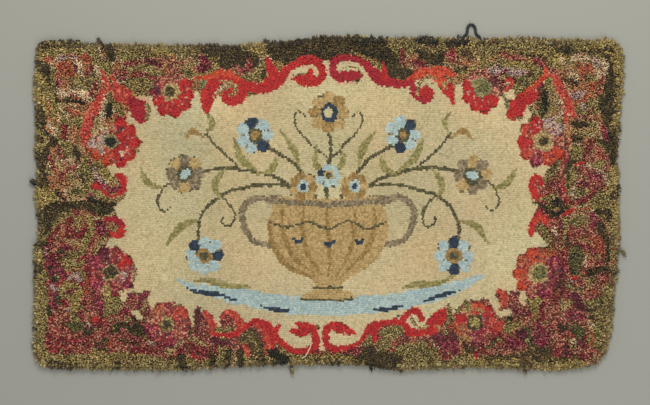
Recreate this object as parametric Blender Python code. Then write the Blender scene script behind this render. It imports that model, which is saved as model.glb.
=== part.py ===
"""A hooked rug, flat on the surface it rests on, in metres, +Z up.

+X runs along the rug and +Y across it. The origin is the middle of the flat underside.
The rug is one solid: a lumpy slab with locks of yarn at its rim. A loop of dark yarn
stands out of one long edge, and a loose end of cream yarn lies on the pile by the other.
"""

import math

import bmesh
import bpy
from mathutils import Vector, noise

# Driving dimensions
RUG_LENGTH = 1.420
RUG_WIDTH = 0.795
FIELD_LENGTH = 1.060
FIELD_WIDTH = 0.700
FIELD_PILE = 0.0090
BORDER_PILE = 0.0125
CORNER_RADIUS = {
    "left far": 0.022,
    "right far": 0.030,
    "left near": 0.040,
    "right near": 0.065,
}

# How far each edge wanders out of the straight: (along, out). Along runs from -1 to 1
# with +X or +Y, and out is in metres.
EDGE_WANDER = {
    "far": (
        (-0.92, 0.002),
        (-0.78, -0.007),
        (-0.32, -0.009),
        (-0.20, 0.000),
        (0.04, 0.013),
        (0.25, 0.010),
        (0.60, 0.009),
        (0.93, 0.004),
    ),
    "near": (
        (-0.92, 0.002),
        (-0.51, 0.004),
        (-0.34, -0.005),
        (-0.10, -0.009),
        (0.06, -0.009),
        (0.25, 0.004),
        (0.52, -0.002),
        (0.79, 0.005),
        (0.90, -0.003),
    ),
    "left": (
        (-0.85, 0.007),
        (-0.30, 0.005),
        (-0.12, -0.007),
        (0.06, 0.004),
        (0.20, -0.002),
        (0.34, 0.004),
        (0.52, 0.000),
        (0.70, 0.007),
        (0.88, 0.002),
    ),
    "right": (
        (-0.88, -0.024),
        (-0.76, -0.015),
        (-0.58, -0.011),
        (-0.40, -0.002),
        (-0.12, 0.004),
        (0.15, 0.000),
        (0.34, -0.002),
        (0.52, 0.002),
        (0.70, 0.010),
        (0.88, 0.012),
    ),
}

# The slab's grid of cells, and the narrow ring of cells that makes its rounded shoulder
CELL = 0.020
SHOULDER_WIDTH = 0.007
RIM_HEIGHT = 0.0085
FOOT_INSET = 0.0015

# Lumps in the pile: their size across and height
BORDER_LUMP_SIZE = 0.048
BORDER_LUMP_HEIGHT = 0.0030
FIELD_LUMP_SIZE = 0.080
FIELD_LUMP_HEIGHT = 0.0008
FIELD_CORNER_SHARPNESS = 3.2
PILE_STEP_START = 0.97
PILE_STEP_END = 1.04

# Locks of yarn at the rim
LOCK_REACH = 0.0060
LOCK_REACH_SPREAD = 0.0035
LOCK_LEAN = 0.0030
LOCK_TIP_SHARE = 0.45
LOCK_TIP_HEIGHT = 0.0030
LOCK_TIP_LEVEL = 0.0024
LOCK_TIP_LEVEL_SPREAD = 0.0006

# The dark loop, flat on the surface beside the far edge. Both ends butt on the rim.
LOOP_DIAMETER = 0.0060
LOOP_CENTRE = 0.0034
LOOP_ROUTE = (
    (0.3300, 0.4026),
    (0.3300, 0.4062),
    (0.3342, 0.4104),
    (0.3392, 0.4152),
    (0.3410, 0.4220),
    (0.3415, 0.4298),
    (0.3452, 0.4365),
    (0.3522, 0.4380),
    (0.3584, 0.4335),
    (0.3608, 0.4262),
    (0.3614, 0.4185),
    (0.3650, 0.4122),
    (0.3702, 0.4090),
    (0.3718, 0.4058),
    (0.3718, 0.4026),
)

# The loose cream end, on top of the pile
THREAD_DIAMETER = 0.0028
THREAD_ROUTE = (
    (-0.0426, -0.3428, 0.0111),
    (-0.0441, -0.3521, 0.0122),
    (-0.0488, -0.3614, 0.0138),
    (-0.0527, -0.3692, 0.0148),
    (-0.0559, -0.3746, 0.0148),
    (-0.0600, -0.3774, 0.0147),
    (-0.0652, -0.3810, 0.0146),
)


def linear(red, green, blue):
    """A colour read from a picture, 0 to 255 each, as Blender's linear values with alpha."""
    return tuple((c / 255) ** 2.2 for c in (red, green, blue)) + (1.0,)


def yarn_material(name, colour, roughness):
    """Matt woollen yarn."""
    material = bpy.data.materials.new(name)
    material.use_nodes = True
    shader = material.node_tree.nodes["Principled BSDF"]
    shader.inputs["Base Color"].default_value = colour
    shader.inputs["Roughness"].default_value = roughness
    shader.inputs["Metallic"].default_value = 0.0
    return material


def smooth_step(start, end, value):
    """0 before start, 1 after end, and an S between."""
    share = min(1.0, max(0.0, (value - start) / (end - start)))
    return share * share * (3 - 2 * share)


def wander(side, along):
    """How far an edge lies out of the straight at that place along it."""
    rows = EDGE_WANDER[side]
    if along <= rows[0][0]:
        return rows[0][1]
    for (before, low), (after, high) in zip(rows, rows[1:]):
        if along <= after:
            return low + (high - low) * smooth_step(before, after, along)
    return rows[-1][1]


def rim_point(u, v):
    """The rim's place for a point of the square that has u or v at -1 or 1."""
    across = "right" if u > 0 else "left"
    along = "far" if v > 0 else "near"
    radius = CORNER_RADIUS[f"{across} {along}"]
    x, y = u * RUG_LENGTH / 2, v * RUG_WIDTH / 2
    centre_x = math.copysign(RUG_LENGTH / 2 - radius, u)
    centre_y = math.copysign(RUG_WIDTH / 2 - radius, v)
    if abs(x) > abs(centre_x) and abs(y) > abs(centre_y):
        arm = Vector((x - centre_x, y - centre_y)).normalized() * radius
        x, y = centre_x + arm.x, centre_y + arm.y
    x += wander(across, v) * math.copysign(abs(u) ** 8, u)
    y += wander(along, u) * math.copysign(abs(v) ** 8, v)
    return Vector((x, y))


def place(u, v):
    """The place of a point of the square, -1 to 1 each way, on the rug."""
    ring = max(abs(u), abs(v))
    return rim_point(u / ring, v / ring) * ring if ring else Vector((0, 0))


def lumps(x, y, size, height):
    """Soft unevenness of the pile."""
    return height * noise.noise(Vector((x / size, y / size, 0.37)))


def pile_top(x, y):
    """How high the pile stands: low and clipped in the field, longer and lumpy outside it."""
    power = FIELD_CORNER_SHARPNESS
    from_middle = (abs(2 * x / FIELD_LENGTH) ** power + abs(2 * y / FIELD_WIDTH) ** power) ** (1 / power)
    outside = smooth_step(PILE_STEP_START, PILE_STEP_END, from_middle)
    field = FIELD_PILE + lumps(x, y, FIELD_LUMP_SIZE, FIELD_LUMP_HEIGHT)
    border = BORDER_PILE + lumps(x, y, BORDER_LUMP_SIZE, BORDER_LUMP_HEIGHT)
    return field + (border - field) * outside


def grid_lines(length):
    """Places from -1 to 1 of the slab's grid lines, with a narrow cell at each end."""
    inner = 1 - 2 * SHOULDER_WIDTH / length
    count = round(length * inner / CELL)
    return [-1.0] + [inner * (2 * i / count - 1) for i in range(count + 1)] + [1.0]


def rim_steps(columns, rows):
    """The grid's outermost places, (column, row), once round, seen from above anticlockwise."""
    last_column, last_row = columns - 1, rows - 1
    steps = [(i, 0) for i in range(last_column)]
    steps += [(last_column, j) for j in range(last_row)]
    steps += [(i, last_row) for i in range(last_column, 0, -1)]
    return steps + [(0, j) for j in range(last_row, 0, -1)]


def add_lock(bm, root, index):
    """Draws one rim face out into a lock of yarn with a small blunt tip."""
    across = (root.verts[1].co - root.verts[0].co).normalized()
    outward = across.cross(Vector((0, 0, 1)))
    middle = root.calc_center_median()
    chance = [noise.noise(Vector((index * 1.37, k * 7.1, 0.5))) for k in range(3)]
    reach = LOCK_REACH + LOCK_REACH_SPREAD * chance[0]
    level = LOCK_TIP_LEVEL + LOCK_TIP_LEVEL_SPREAD * chance[2]
    tip = middle + outward * reach + across * (LOCK_LEAN * chance[1])
    tip.z = level
    drawn = bmesh.ops.extrude_discrete_faces(bm, faces=[root])["faces"][0]
    for vertex in drawn.verts:
        away = vertex.co - middle
        vertex.co = tip + across * (away.dot(across) * LOCK_TIP_SHARE)
        vertex.co.z = level + math.copysign(LOCK_TIP_HEIGHT / 2, away.z)


def rug_mesh():
    """The slab: a flat foot, a grid of cells for the lumpy top, and a wall of locks."""
    bm = bmesh.new()
    us, vs = grid_lines(RUG_LENGTH), grid_lines(RUG_WIDTH)
    top = {}
    for i, u in enumerate(us):
        for j, v in enumerate(vs):
            x, y = place(u, v)
            on_rim = i in (0, len(us) - 1) or j in (0, len(vs) - 1)
            height = RIM_HEIGHT + lumps(x, y, BORDER_LUMP_SIZE, BORDER_LUMP_HEIGHT) / 2
            top[i, j] = bm.verts.new((x, y, height if on_rim else pile_top(x, y)))
    for i in range(len(us) - 1):
        for j in range(len(vs) - 1):
            bm.faces.new((top[i, j], top[i + 1, j], top[i + 1, j + 1], top[i, j + 1]))
    rim = [top[step] for step in rim_steps(len(us), len(vs))]
    foot = [bm.verts.new((v.co - v.co.normalized() * FOOT_INSET).xy.to_3d()) for v in rim]
    bm.faces.new(reversed(foot))
    walls = []
    for k, vertex in enumerate(rim):
        after = (k + 1) % len(rim)
        walls.append(bm.faces.new((foot[k], foot[after], rim[after], vertex)))
    bm.normal_update()
    for index, wall in enumerate(walls):
        if not loop_meets(wall):
            add_lock(bm, wall, index)
    centre_on_origin(bm)
    mesh = bpy.data.meshes.new("rug")
    bm.to_mesh(mesh)
    bm.free()
    return mesh


def loop_meets(wall):
    """Whether an end of the dark loop butts on this rim face, which then stays flat."""
    xs = [vertex.co.x for vertex in wall.verts]
    ends = (LOOP_ROUTE[0][0], LOOP_ROUTE[-1][0])
    near = any(min(xs) - LOOP_DIAMETER < end < max(xs) + LOOP_DIAMETER for end in ends)
    return near and wall.calc_center_median().y > RUG_WIDTH / 4


def centre_on_origin(bm):
    """Moves the slab sideways so that the middle of its outline's box is the origin."""
    xs = [vertex.co.x for vertex in bm.verts]
    ys = [vertex.co.y for vertex in bm.verts]
    middle = Vector((min(xs) + max(xs), min(ys) + max(ys), 0)) / 2
    bmesh.ops.translate(bm, verts=bm.verts, vec=-middle)


def make_rug():
    mesh = rug_mesh()
    mesh.shade_smooth()
    mesh.set_sharp_from_angle(angle=math.radians(40))
    mesh.materials.append(yarn_material("hooked wool", linear(150, 122, 84), 0.95))
    rug = bpy.data.objects.new("rug", mesh)
    bpy.context.scene.collection.objects.link(rug)


def smooth_route(points, step):
    """Points about a step apart on a smooth curve through the route's own points."""
    padded = [points[0] * 2 - points[1], *points, points[-1] * 2 - points[-2]]
    line = [points[0]]
    for before, start, end, after in zip(padded, padded[1:], padded[2:], padded[3:]):
        pieces = max(1, round((end - start).length / step))
        for k in range(1, pieces + 1):
            t = k / pieces
            line.append(
                0.5
                * (
                    2 * start
                    + (end - before) * t
                    + (2 * before - 5 * start + 4 * end - after) * t**2
                    + (3 * start - before - 3 * end + after) * t**3
                )
            )
    return line


def make_yarn(name, route, diameter, material):
    """A length of yarn as a round tube with closed ends. Its tight bends take a point a diameter."""
    line = smooth_route([Vector(point) for point in route], diameter)
    curve = bpy.data.curves.new(name, "CURVE")
    curve.dimensions = "3D"
    curve.bevel_depth = diameter / 2
    curve.bevel_resolution = 2
    curve.use_fill_caps = True
    spline = curve.splines.new("POLY")
    spline.points.add(len(line) - 1)
    for point, here in zip(spline.points, line):
        point.co = (*here, 1)
    curve.materials.append(material)
    yarn = bpy.data.objects.new(name, curve)
    bpy.context.scene.collection.objects.link(yarn)


for old in list(bpy.data.objects):
    bpy.data.objects.remove(old)

make_rug()
make_yarn(
    "edge_loop",
    [(x, y, LOOP_CENTRE) for x, y in LOOP_ROUTE],
    LOOP_DIAMETER,
    yarn_material("dark yarn", linear(38, 38, 40), 0.9),
)
make_yarn(
    "loose_thread",
    THREAD_ROUTE,
    THREAD_DIAMETER,
    yarn_material("cream yarn", linear(224, 196, 160), 0.9),
)
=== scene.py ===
import math

import bpy
import numpy as np
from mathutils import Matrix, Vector
from mathutils.bvhtree import BVHTree


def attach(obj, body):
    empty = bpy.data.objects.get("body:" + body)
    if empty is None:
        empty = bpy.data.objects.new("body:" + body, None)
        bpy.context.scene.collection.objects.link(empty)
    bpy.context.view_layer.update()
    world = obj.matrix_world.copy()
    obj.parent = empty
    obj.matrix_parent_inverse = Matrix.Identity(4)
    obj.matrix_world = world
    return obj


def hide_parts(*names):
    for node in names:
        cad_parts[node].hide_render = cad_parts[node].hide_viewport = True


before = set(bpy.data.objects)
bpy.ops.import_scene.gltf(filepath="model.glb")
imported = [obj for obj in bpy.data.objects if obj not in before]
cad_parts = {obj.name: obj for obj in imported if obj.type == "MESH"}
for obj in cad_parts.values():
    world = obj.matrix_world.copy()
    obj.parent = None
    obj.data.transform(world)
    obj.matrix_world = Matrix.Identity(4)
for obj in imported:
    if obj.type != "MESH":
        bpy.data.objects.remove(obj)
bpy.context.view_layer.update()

# Camera. The rug is seen flat from straight above, through a long lens, a touch left of its
# middle.

CAMERA_X, CAMERA_Y = -0.0086, 0.0012
VIEW_WIDTH = 1.5925  # metres across the picture, at the height of the pile
LENS, SENSOR = 85.0, 36.0

camera_data = bpy.data.cameras.new("camera")
camera_data.lens = LENS
camera_data.sensor_width = SENSOR
camera_data.sensor_fit = "HORIZONTAL"
camera_data.clip_end = 50
camera = bpy.data.objects.new("camera", camera_data)
camera.location = (CAMERA_X, CAMERA_Y, 0.012 + VIEW_WIDTH * LENS / SENSOR)
bpy.context.scene.collection.objects.link(camera)
bpy.context.scene.camera = camera

# Loop of dark yarn at the far edge. One length of thick, nearly black wool, of three plies twisted
# together. It was drawn through the foundation cloth at the rim and left standing out as a loop.

LOOP_DIAMETER = 0.0060
LOOP_CENTRE = 0.0034
LOOP_ROUTE = (
    (0.3300, 0.4026), (0.3300, 0.4062), (0.3342, 0.4104), (0.3392, 0.4152), (0.3410, 0.4220),
    (0.3415, 0.4298), (0.3452, 0.4365), (0.3522, 0.4380), (0.3584, 0.4335), (0.3608, 0.4262),
    (0.3614, 0.4185), (0.3650, 0.4122), (0.3702, 0.4090), (0.3718, 0.4058), (0.3718, 0.4026),
)
LOOP_HAIRS = 1500
HAIR_WIDTH = 0.0003


def in_scene(name, mesh):
    """An object that shows a mesh, at the origin of the scene."""
    shown = bpy.data.objects.new(name, mesh)
    bpy.context.scene.collection.objects.link(shown)
    return shown


def new_node(tree, kind, **values):
    """A node whose inputs hold the given values, their names written with underscores."""
    node = tree.nodes.new(kind)
    for name, value in values.items():
        node.inputs[name.replace("_", " ")].default_value = value
    return node


def linear(red, green, blue):
    """The colour as light, from numbers of 0 to 255 as a screen shows them."""
    shares = [part / 255 for part in (red, green, blue)]
    return tuple(c / 12.92 if c <= 0.04045 else ((c + 0.055) / 1.055) ** 2.4 for c in shares)


def smooth_route(points, step):
    """Points about a step apart on a smooth line through the given ones."""
    padded = [2 * points[0] - points[1], *points, 2 * points[-1] - points[-2]]
    route = [points[0]]
    for before, start, end, after in zip(padded, padded[1:], padded[2:], padded[3:]):
        pieces = max(1, round((end - start).length / step))
        for i in range(1, pieces + 1):
            t = i / pieces
            curve = 2 * start + (end - before) * t
            curve += (2 * before - 5 * start + 4 * end - after) * t**2
            curve += (3 * start - before - 3 * end + after) * t**3
            route.append(curve / 2)
    return route


def frames_along(route):
    """A side and an up direction at each point, both square to the route."""
    sides = []
    for i, point in enumerate(route):
        ahead = (route[min(i + 1, len(route) - 1)] - route[max(i - 1, 0)]).normalized()
        side = ahead.cross(Vector((0, 0, 1))).normalized()
        sides.append((point, side, side.cross(ahead)))
    return sides


def twisted_yarn(name, route, diameter, plies, lay, hairs, hair_length, material, seed):
    """A mesh of plies wound round a route, with short fibres that stand off it."""
    chance = np.random.default_rng(seed)
    verts, faces, tips = [], [], []
    ply = diameter * (0.29 if plies == 3 else 0.27)
    offset = diameter / 2 - ply
    along = frames_along(route)
    travelled = [0.0]
    for a, b in zip(route, route[1:]):
        travelled.append(travelled[-1] + (b - a).length)
    around = 7
    for number in range(plies):
        first = len(verts)
        for (point, side, up), distance in zip(along, travelled):
            turn = distance / lay * 2 * math.pi + number / plies * 2 * math.pi
            middle = point + (side * math.cos(turn) + up * math.sin(turn)) * offset
            for k in range(around):
                angle = k / around * 2 * math.pi
                verts.append(middle + (side * math.cos(angle) + up * math.sin(angle)) * ply)
                # Painted shade: each ply is darker on its side towards the other plies.
                tips.append(0.75 + 0.25 * math.cos(angle - turn))
        for i in range(len(along) - 1):
            for k in range(around):
                a, b = first + i * around + k, first + i * around + (k + 1) % around
                faces.append((a, b, b + around, a + around))
        faces.append(tuple(range(first + around - 1, first - 1, -1)))
        last = first + (len(along) - 1) * around
        faces.append(tuple(range(last, last + around)))
    for _ in range(hairs):
        point, side, up = along[chance.integers(len(along))]
        angle = chance.uniform(0, 2 * math.pi)
        out = side * math.cos(angle) + up * math.sin(angle)
        ahead = side.cross(up)
        sway = ahead * chance.uniform(-1, 1) + out.cross(ahead) * chance.uniform(-1, 1)
        root = point + out * diameter * 0.42
        end = root + (out + sway).normalized() * hair_length * chance.uniform(0.5, 1)
        end.z = max(end.z, HAIR_WIDTH)
        first = len(verts)
        for step in (-1, 0, 1):
            aside = sway.normalized().cross(out) * step + out * (step == 0)
            verts.append(root + aside * HAIR_WIDTH)
            # Painted shade: each fibre is darker at its root, next to the yarn.
            tips.append(0.8)
        verts.append(end)
        tips.append(1.0)
        faces += [(first, first + 1, first + 3), (first + 1, first + 2, first + 3),
                  (first + 2, first, first + 3), (first, first + 2, first + 1)]
    mesh = bpy.data.meshes.new(name)
    mesh.from_pydata([tuple(v) for v in verts], [], faces, shade_flat=False)
    mesh.attributes.new("tip", "FLOAT", "POINT").data.foreach_set("value", tips)
    mesh.materials.append(material)
    return in_scene(name, mesh)


def fibre_grain():
    """A node group: the fine light and dark of combed wool fibres, and their height."""
    group = bpy.data.node_groups.new("fibre grain", "ShaderNodeTree")
    group.interface.new_socket("Fineness", in_out="INPUT", socket_type="NodeSocketFloat")
    group.interface.new_socket("Shade", in_out="OUTPUT", socket_type="NodeSocketColor")
    group.interface.new_socket("Height", in_out="OUTPUT", socket_type="NodeSocketFloat")
    links = group.links
    entry = new_node(group, "NodeGroupInput")
    leave = new_node(group, "NodeGroupOutput")
    place = new_node(group, "ShaderNodeTexCoord")
    fine = new_node(group, "ShaderNodeTexNoise", Detail=3, Roughness=0.65)
    spread = new_node(group, "ShaderNodeMapRange", From_Min=0.3, From_Max=0.7, To_Min=0.88, To_Max=1.12)
    links.new(place.outputs["Object"], fine.inputs["Vector"])
    links.new(entry.outputs["Fineness"], fine.inputs["Scale"])
    links.new(fine.outputs["Fac"], spread.inputs["Value"])
    links.new(spread.outputs["Result"], leave.inputs["Shade"])
    links.new(fine.outputs["Fac"], leave.inputs["Height"])
    return group


FIBRE_GRAIN = fibre_grain()


def wool(name, colour, fineness, sheen, painted_root_shade):
    """Dyed wool: the dye under the fine grain of its fibres, with painted shade that darkens it down
    towards the root.
    """
    material = bpy.data.materials.new(name)
    material.use_nodes = True
    nodes, links = material.node_tree.nodes, material.node_tree.links
    shader = nodes["Principled BSDF"]
    shader.inputs["Roughness"].default_value = 0.86
    shader.inputs["Specular IOR Level"].default_value = 0.25
    shader.inputs["Sheen Weight"].default_value = sheen
    shader.inputs["Sheen Roughness"].default_value = 0.5
    grain = nodes.new("ShaderNodeGroup")
    grain.node_tree = FIBRE_GRAIN
    grain.inputs["Fineness"].default_value = fineness
    # Painted shade: the tip attribute darkens the dye towards the root, where tufts and plies shade each
    # other.
    tip = nodes.new("ShaderNodeAttribute")
    tip.attribute_name = "tip"
    depth = new_node(material.node_tree, "ShaderNodeMapRange", To_Min=painted_root_shade, To_Max=1.0)
    links.new(tip.outputs["Fac"], depth.inputs["Value"])
    shade, dyed = nodes.new("ShaderNodeMix"), nodes.new("ShaderNodeMix")
    for product in (shade, dyed):
        product.data_type = "RGBA"
        product.blend_type = "MULTIPLY"
        product.inputs["Factor"].default_value = 1
    links.new(grain.outputs["Shade"], shade.inputs["A"])
    links.new(depth.outputs["Result"], shade.inputs["B"])
    links.new(shade.outputs["Result"], dyed.inputs["A"])
    if colour is None:
        dye = nodes.new("ShaderNodeAttribute")
        dye.attribute_name = "dye"
        links.new(dye.outputs["Color"], dyed.inputs["B"])
    else:
        dyed.inputs["B"].default_value = (*linear(*colour), 1)
    links.new(dyed.outputs["Result"], shader.inputs["Base Color"])
    bump = new_node(material.node_tree, "ShaderNodeBump", Strength=0.35, Distance=0.0006)
    links.new(grain.outputs["Height"], bump.inputs["Height"])
    links.new(bump.outputs["Normal"], shader.inputs["Normal"])
    return material


loop_route = smooth_route([Vector((x, y, LOOP_CENTRE)) for x, y in LOOP_ROUTE], 0.0010)
DARK_YARN = wool("dark yarn", (40, 42, 42), 900, 0.3, 0.5)
edge_loop = twisted_yarn("loop_of_dark_yarn", loop_route, LOOP_DIAMETER, 3, 0.017, LOOP_HAIRS, 0.003,
                         DARK_YARN, 21)
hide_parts("edge_loop")
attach(edge_loop, "root")

# Loose end of cream yarn at the near edge. A thin two-ply end that worked out of the pile. It
# lies over the tufts, rises out of one place and bends once before its cut end.

THREAD_DIAMETER = 0.0028
THREAD_ROUTE = (
    (-0.0426, -0.3428, 0.0111), (-0.0441, -0.3521, 0.0122), (-0.0488, -0.3614, 0.0138),
    (-0.0527, -0.3692, 0.0148), (-0.0559, -0.3746, 0.0148), (-0.0600, -0.3774, 0.0147),
    (-0.0652, -0.3810, 0.0146),
)

thread_route = smooth_route([Vector(p) for p in THREAD_ROUTE], 0.0010)
CREAM_YARN = wool("cream yarn", (232, 204, 168), 1200, 0.3, 0.7)
thread = twisted_yarn("loose_end_of_cream_yarn", thread_route, THREAD_DIAMETER, 2, 0.008, 60, 0.002,
                      CREAM_YARN, 22)
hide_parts("loose_thread")
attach(thread, "root")

# Floor and studio light. The rug lies on a plain matt grey board, under broad soft lamps, the
# far one a little brighter.

FLOOR_SIDE = 9.0
FLOOR_LEVEL = -0.0003

floor_mesh = bpy.data.meshes.new("floor")
half = FLOOR_SIDE / 2
corners = [(a * half, b * half, FLOOR_LEVEL) for a, b in ((-1, -1), (1, -1), (1, 1), (-1, 1))]
floor_mesh.from_pydata(corners, [], [(0, 1, 2, 3)])
floor = in_scene("floor", floor_mesh)
board = bpy.data.materials.new("grey board")
board.use_nodes = True
board_shader = board.node_tree.nodes["Principled BSDF"]
board_shader.inputs["Roughness"].default_value = 0.9
board_shader.inputs["Specular IOR Level"].default_value = 0.2
board_shader.inputs["Base Color"].default_value = (*linear(152, 151, 141), 1)
floor_mesh.materials.append(board)


def soft_lamp(name, place, aim, size, power, colour):
    data = bpy.data.lights.new(name, "AREA")
    data.shape = "DISK"
    data.size = size
    data.energy = power
    data.color = colour
    lamp = bpy.data.objects.new(name, data)
    lamp.location = place
    lamp.rotation_euler = (Vector(aim) - Vector(place)).to_track_quat("-Z", "Y").to_euler()
    bpy.context.scene.collection.objects.link(lamp)


soft_lamp("far lamp", (0.2, 2.3, 2.2), (0, 0.3, 0), 1.5, 66, (1.0, 0.985, 0.96))
soft_lamp("near lamp", (1.3, -2.6, 2.6), (0, 0, 0), 1.8, 34, (0.98, 0.99, 1.0))
world = bpy.context.scene.world or bpy.data.worlds.new("room")
bpy.context.scene.world = world
world.use_nodes = True
sky = world.node_tree.nodes["Background"]
sky.inputs["Color"].default_value = (0.95, 0.97, 1.0, 1)
sky.inputs["Strength"].default_value = 0.60
bpy.context.scene.view_settings.view_transform = "Standard"
bpy.context.scene.view_settings.look = "None"

# Foundation cloth. One piece of coarse brown burlap under the whole rug, with its raw edge turned
# under once as a hem. The yarn is hooked through it from below.

HOOKED_LENGTH, HOOKED_WIDTH, CORNER_RADIUS = 1.42, 0.795, 0.035
CLOTH_INSET = 0.0060
CLOTH_TOP, CLOTH_UNDERSIDE = 0.0026, 0.0010
HEM_WIDTH = 0.022
HEM_OUTER, HEM_INNER = 0.0004, 0.0002  # heights of the hem's underside at its two edges

cad_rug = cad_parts["rug"]
cad_mesh = cad_rug.data
cad_rug_tree = BVHTree.FromPolygons([cad_rug.matrix_world @ v.co for v in cad_mesh.vertices],
                                    [tuple(p.vertices) for p in cad_mesh.polygons])


def rim_walk(length, width, radius, step):
    """Places and outward directions along a rounded rectangle, anticlockwise from the right."""
    walk = []
    a, b = length / 2 - radius, width / 2 - radius
    corners = ((a, -b, 0), (a, b, 90), (-a, b, 180), (-a, -b, 270))
    for i, (x, y, heading) in enumerate(corners):
        out = Vector((math.cos(math.radians(heading)), math.sin(math.radians(heading)), 0))
        along = Vector((-out.y, out.x, 0))
        run = 2 * (b if i % 2 == 0 else a)
        begin = Vector((x, y, 0)) + out * radius
        for k in range(max(1, round(run / step))):
            walk.append((begin + along * run * (k + 0.5) / max(1, round(run / step)), out))
        turns = max(2, round(radius * math.pi / 2 / step))
        corner = begin + along * run - out * radius
        for k in range(turns):
            angle = math.radians(heading + 90 * (k + 0.5) / turns)
            out_now = Vector((math.cos(angle), math.sin(angle), 0))
            walk.append((corner + out_now * radius, out_now))
    return walk


def rim_at(place, out, height):
    """Where the rug's side stands, seen from outside at a height, or None."""
    start = place + out * 0.08
    start.z = height
    hit = cad_rug_tree.ray_cast(start, -out, 0.16)[0]
    return hit


cloth_walk = rim_walk(HOOKED_LENGTH, HOOKED_WIDTH, CORNER_RADIUS, 0.010)
found = [rim_at(place, out, 0.002) or place for place, out in cloth_walk]
reach = np.array([(hit - place).dot(out) for hit, (place, out) in zip(found, cloth_walk)])
lowest = np.min([np.roll(reach, k) for k in range(-2, 3)], axis=0)
calm = sum(np.roll(lowest, k) for k in range(-3, 4)) / 7
cloth_edge = [place + out * (float(r) - CLOTH_INSET) for (place, out), r in zip(cloth_walk, calm)]


def burlap_cloth():
    """The cloth as one closed body: flat above, and thicker below where its hem is turned."""
    verts, faces = [], []
    count = len(cloth_edge)
    inner = [p - out * HEM_WIDTH for p, (_, out) in zip(cloth_edge, cloth_walk)]
    rings = ((cloth_edge, CLOTH_TOP), (cloth_edge, HEM_OUTER), (inner, HEM_INNER),
             (inner, CLOTH_UNDERSIDE))
    for line, height in rings:
        verts += [(p.x, p.y, height) for p in line]
    for ring in range(3):
        for i in range(count):
            a, b = ring * count + i, ring * count + (i + 1) % count
            faces.append((a, a + count, b + count, b))
    faces.append(tuple(range(count)))
    faces.append(tuple(range(4 * count - 1, 3 * count - 1, -1)))
    mesh = bpy.data.meshes.new("foundation cloth")
    mesh.from_pydata(verts, [], faces)
    return mesh


BURLAP = bpy.data.materials.new("brown burlap")
BURLAP.use_nodes = True
burlap_nodes, burlap_links = BURLAP.node_tree.nodes, BURLAP.node_tree.links
burlap_shader = burlap_nodes["Principled BSDF"]
burlap_shader.inputs["Roughness"].default_value = 0.9
burlap_shader.inputs["Specular IOR Level"].default_value = 0.2
burlap_place = burlap_nodes.new("ShaderNodeTexCoord")
threads = []
for direction in ("X", "Y"):
    wave = new_node(BURLAP.node_tree, "ShaderNodeTexWave", Scale=170, Distortion=0.6, Detail=1)
    wave.bands_direction = direction
    burlap_links.new(burlap_place.outputs["Object"], wave.inputs["Vector"])
    threads.append(wave)
woven = burlap_nodes.new("ShaderNodeMath")
woven.operation = "MAXIMUM"
burlap_links.new(threads[0].outputs["Fac"], woven.inputs[0])
burlap_links.new(threads[1].outputs["Fac"], woven.inputs[1])
tint = burlap_nodes.new("ShaderNodeMix")
tint.data_type = "RGBA"
tint.inputs["A"].default_value = (*linear(92, 72, 46), 1)
tint.inputs["B"].default_value = (*linear(176, 150, 108), 1)
burlap_links.new(woven.outputs["Value"], tint.inputs["Factor"])
burlap_links.new(tint.outputs["Result"], burlap_shader.inputs["Base Color"])
weave_bump = new_node(BURLAP.node_tree, "ShaderNodeBump", Strength=0.6, Distance=0.0006)
burlap_links.new(woven.outputs["Value"], weave_bump.inputs["Height"])
burlap_links.new(weave_bump.outputs["Normal"], burlap_shader.inputs["Normal"])

cloth_mesh = burlap_cloth()
cloth_mesh.materials.append(BURLAP)
cloth = in_scene("foundation_cloth", cloth_mesh)
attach(cloth, "root")

# Design drawn on the cloth. The maker draws an open field with scrolls, flowers and leaves round
# it on the burlap, and hooks each shape in its own mix of dyed wool. The tables are in
# millimetres from the rug's middle.

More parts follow.
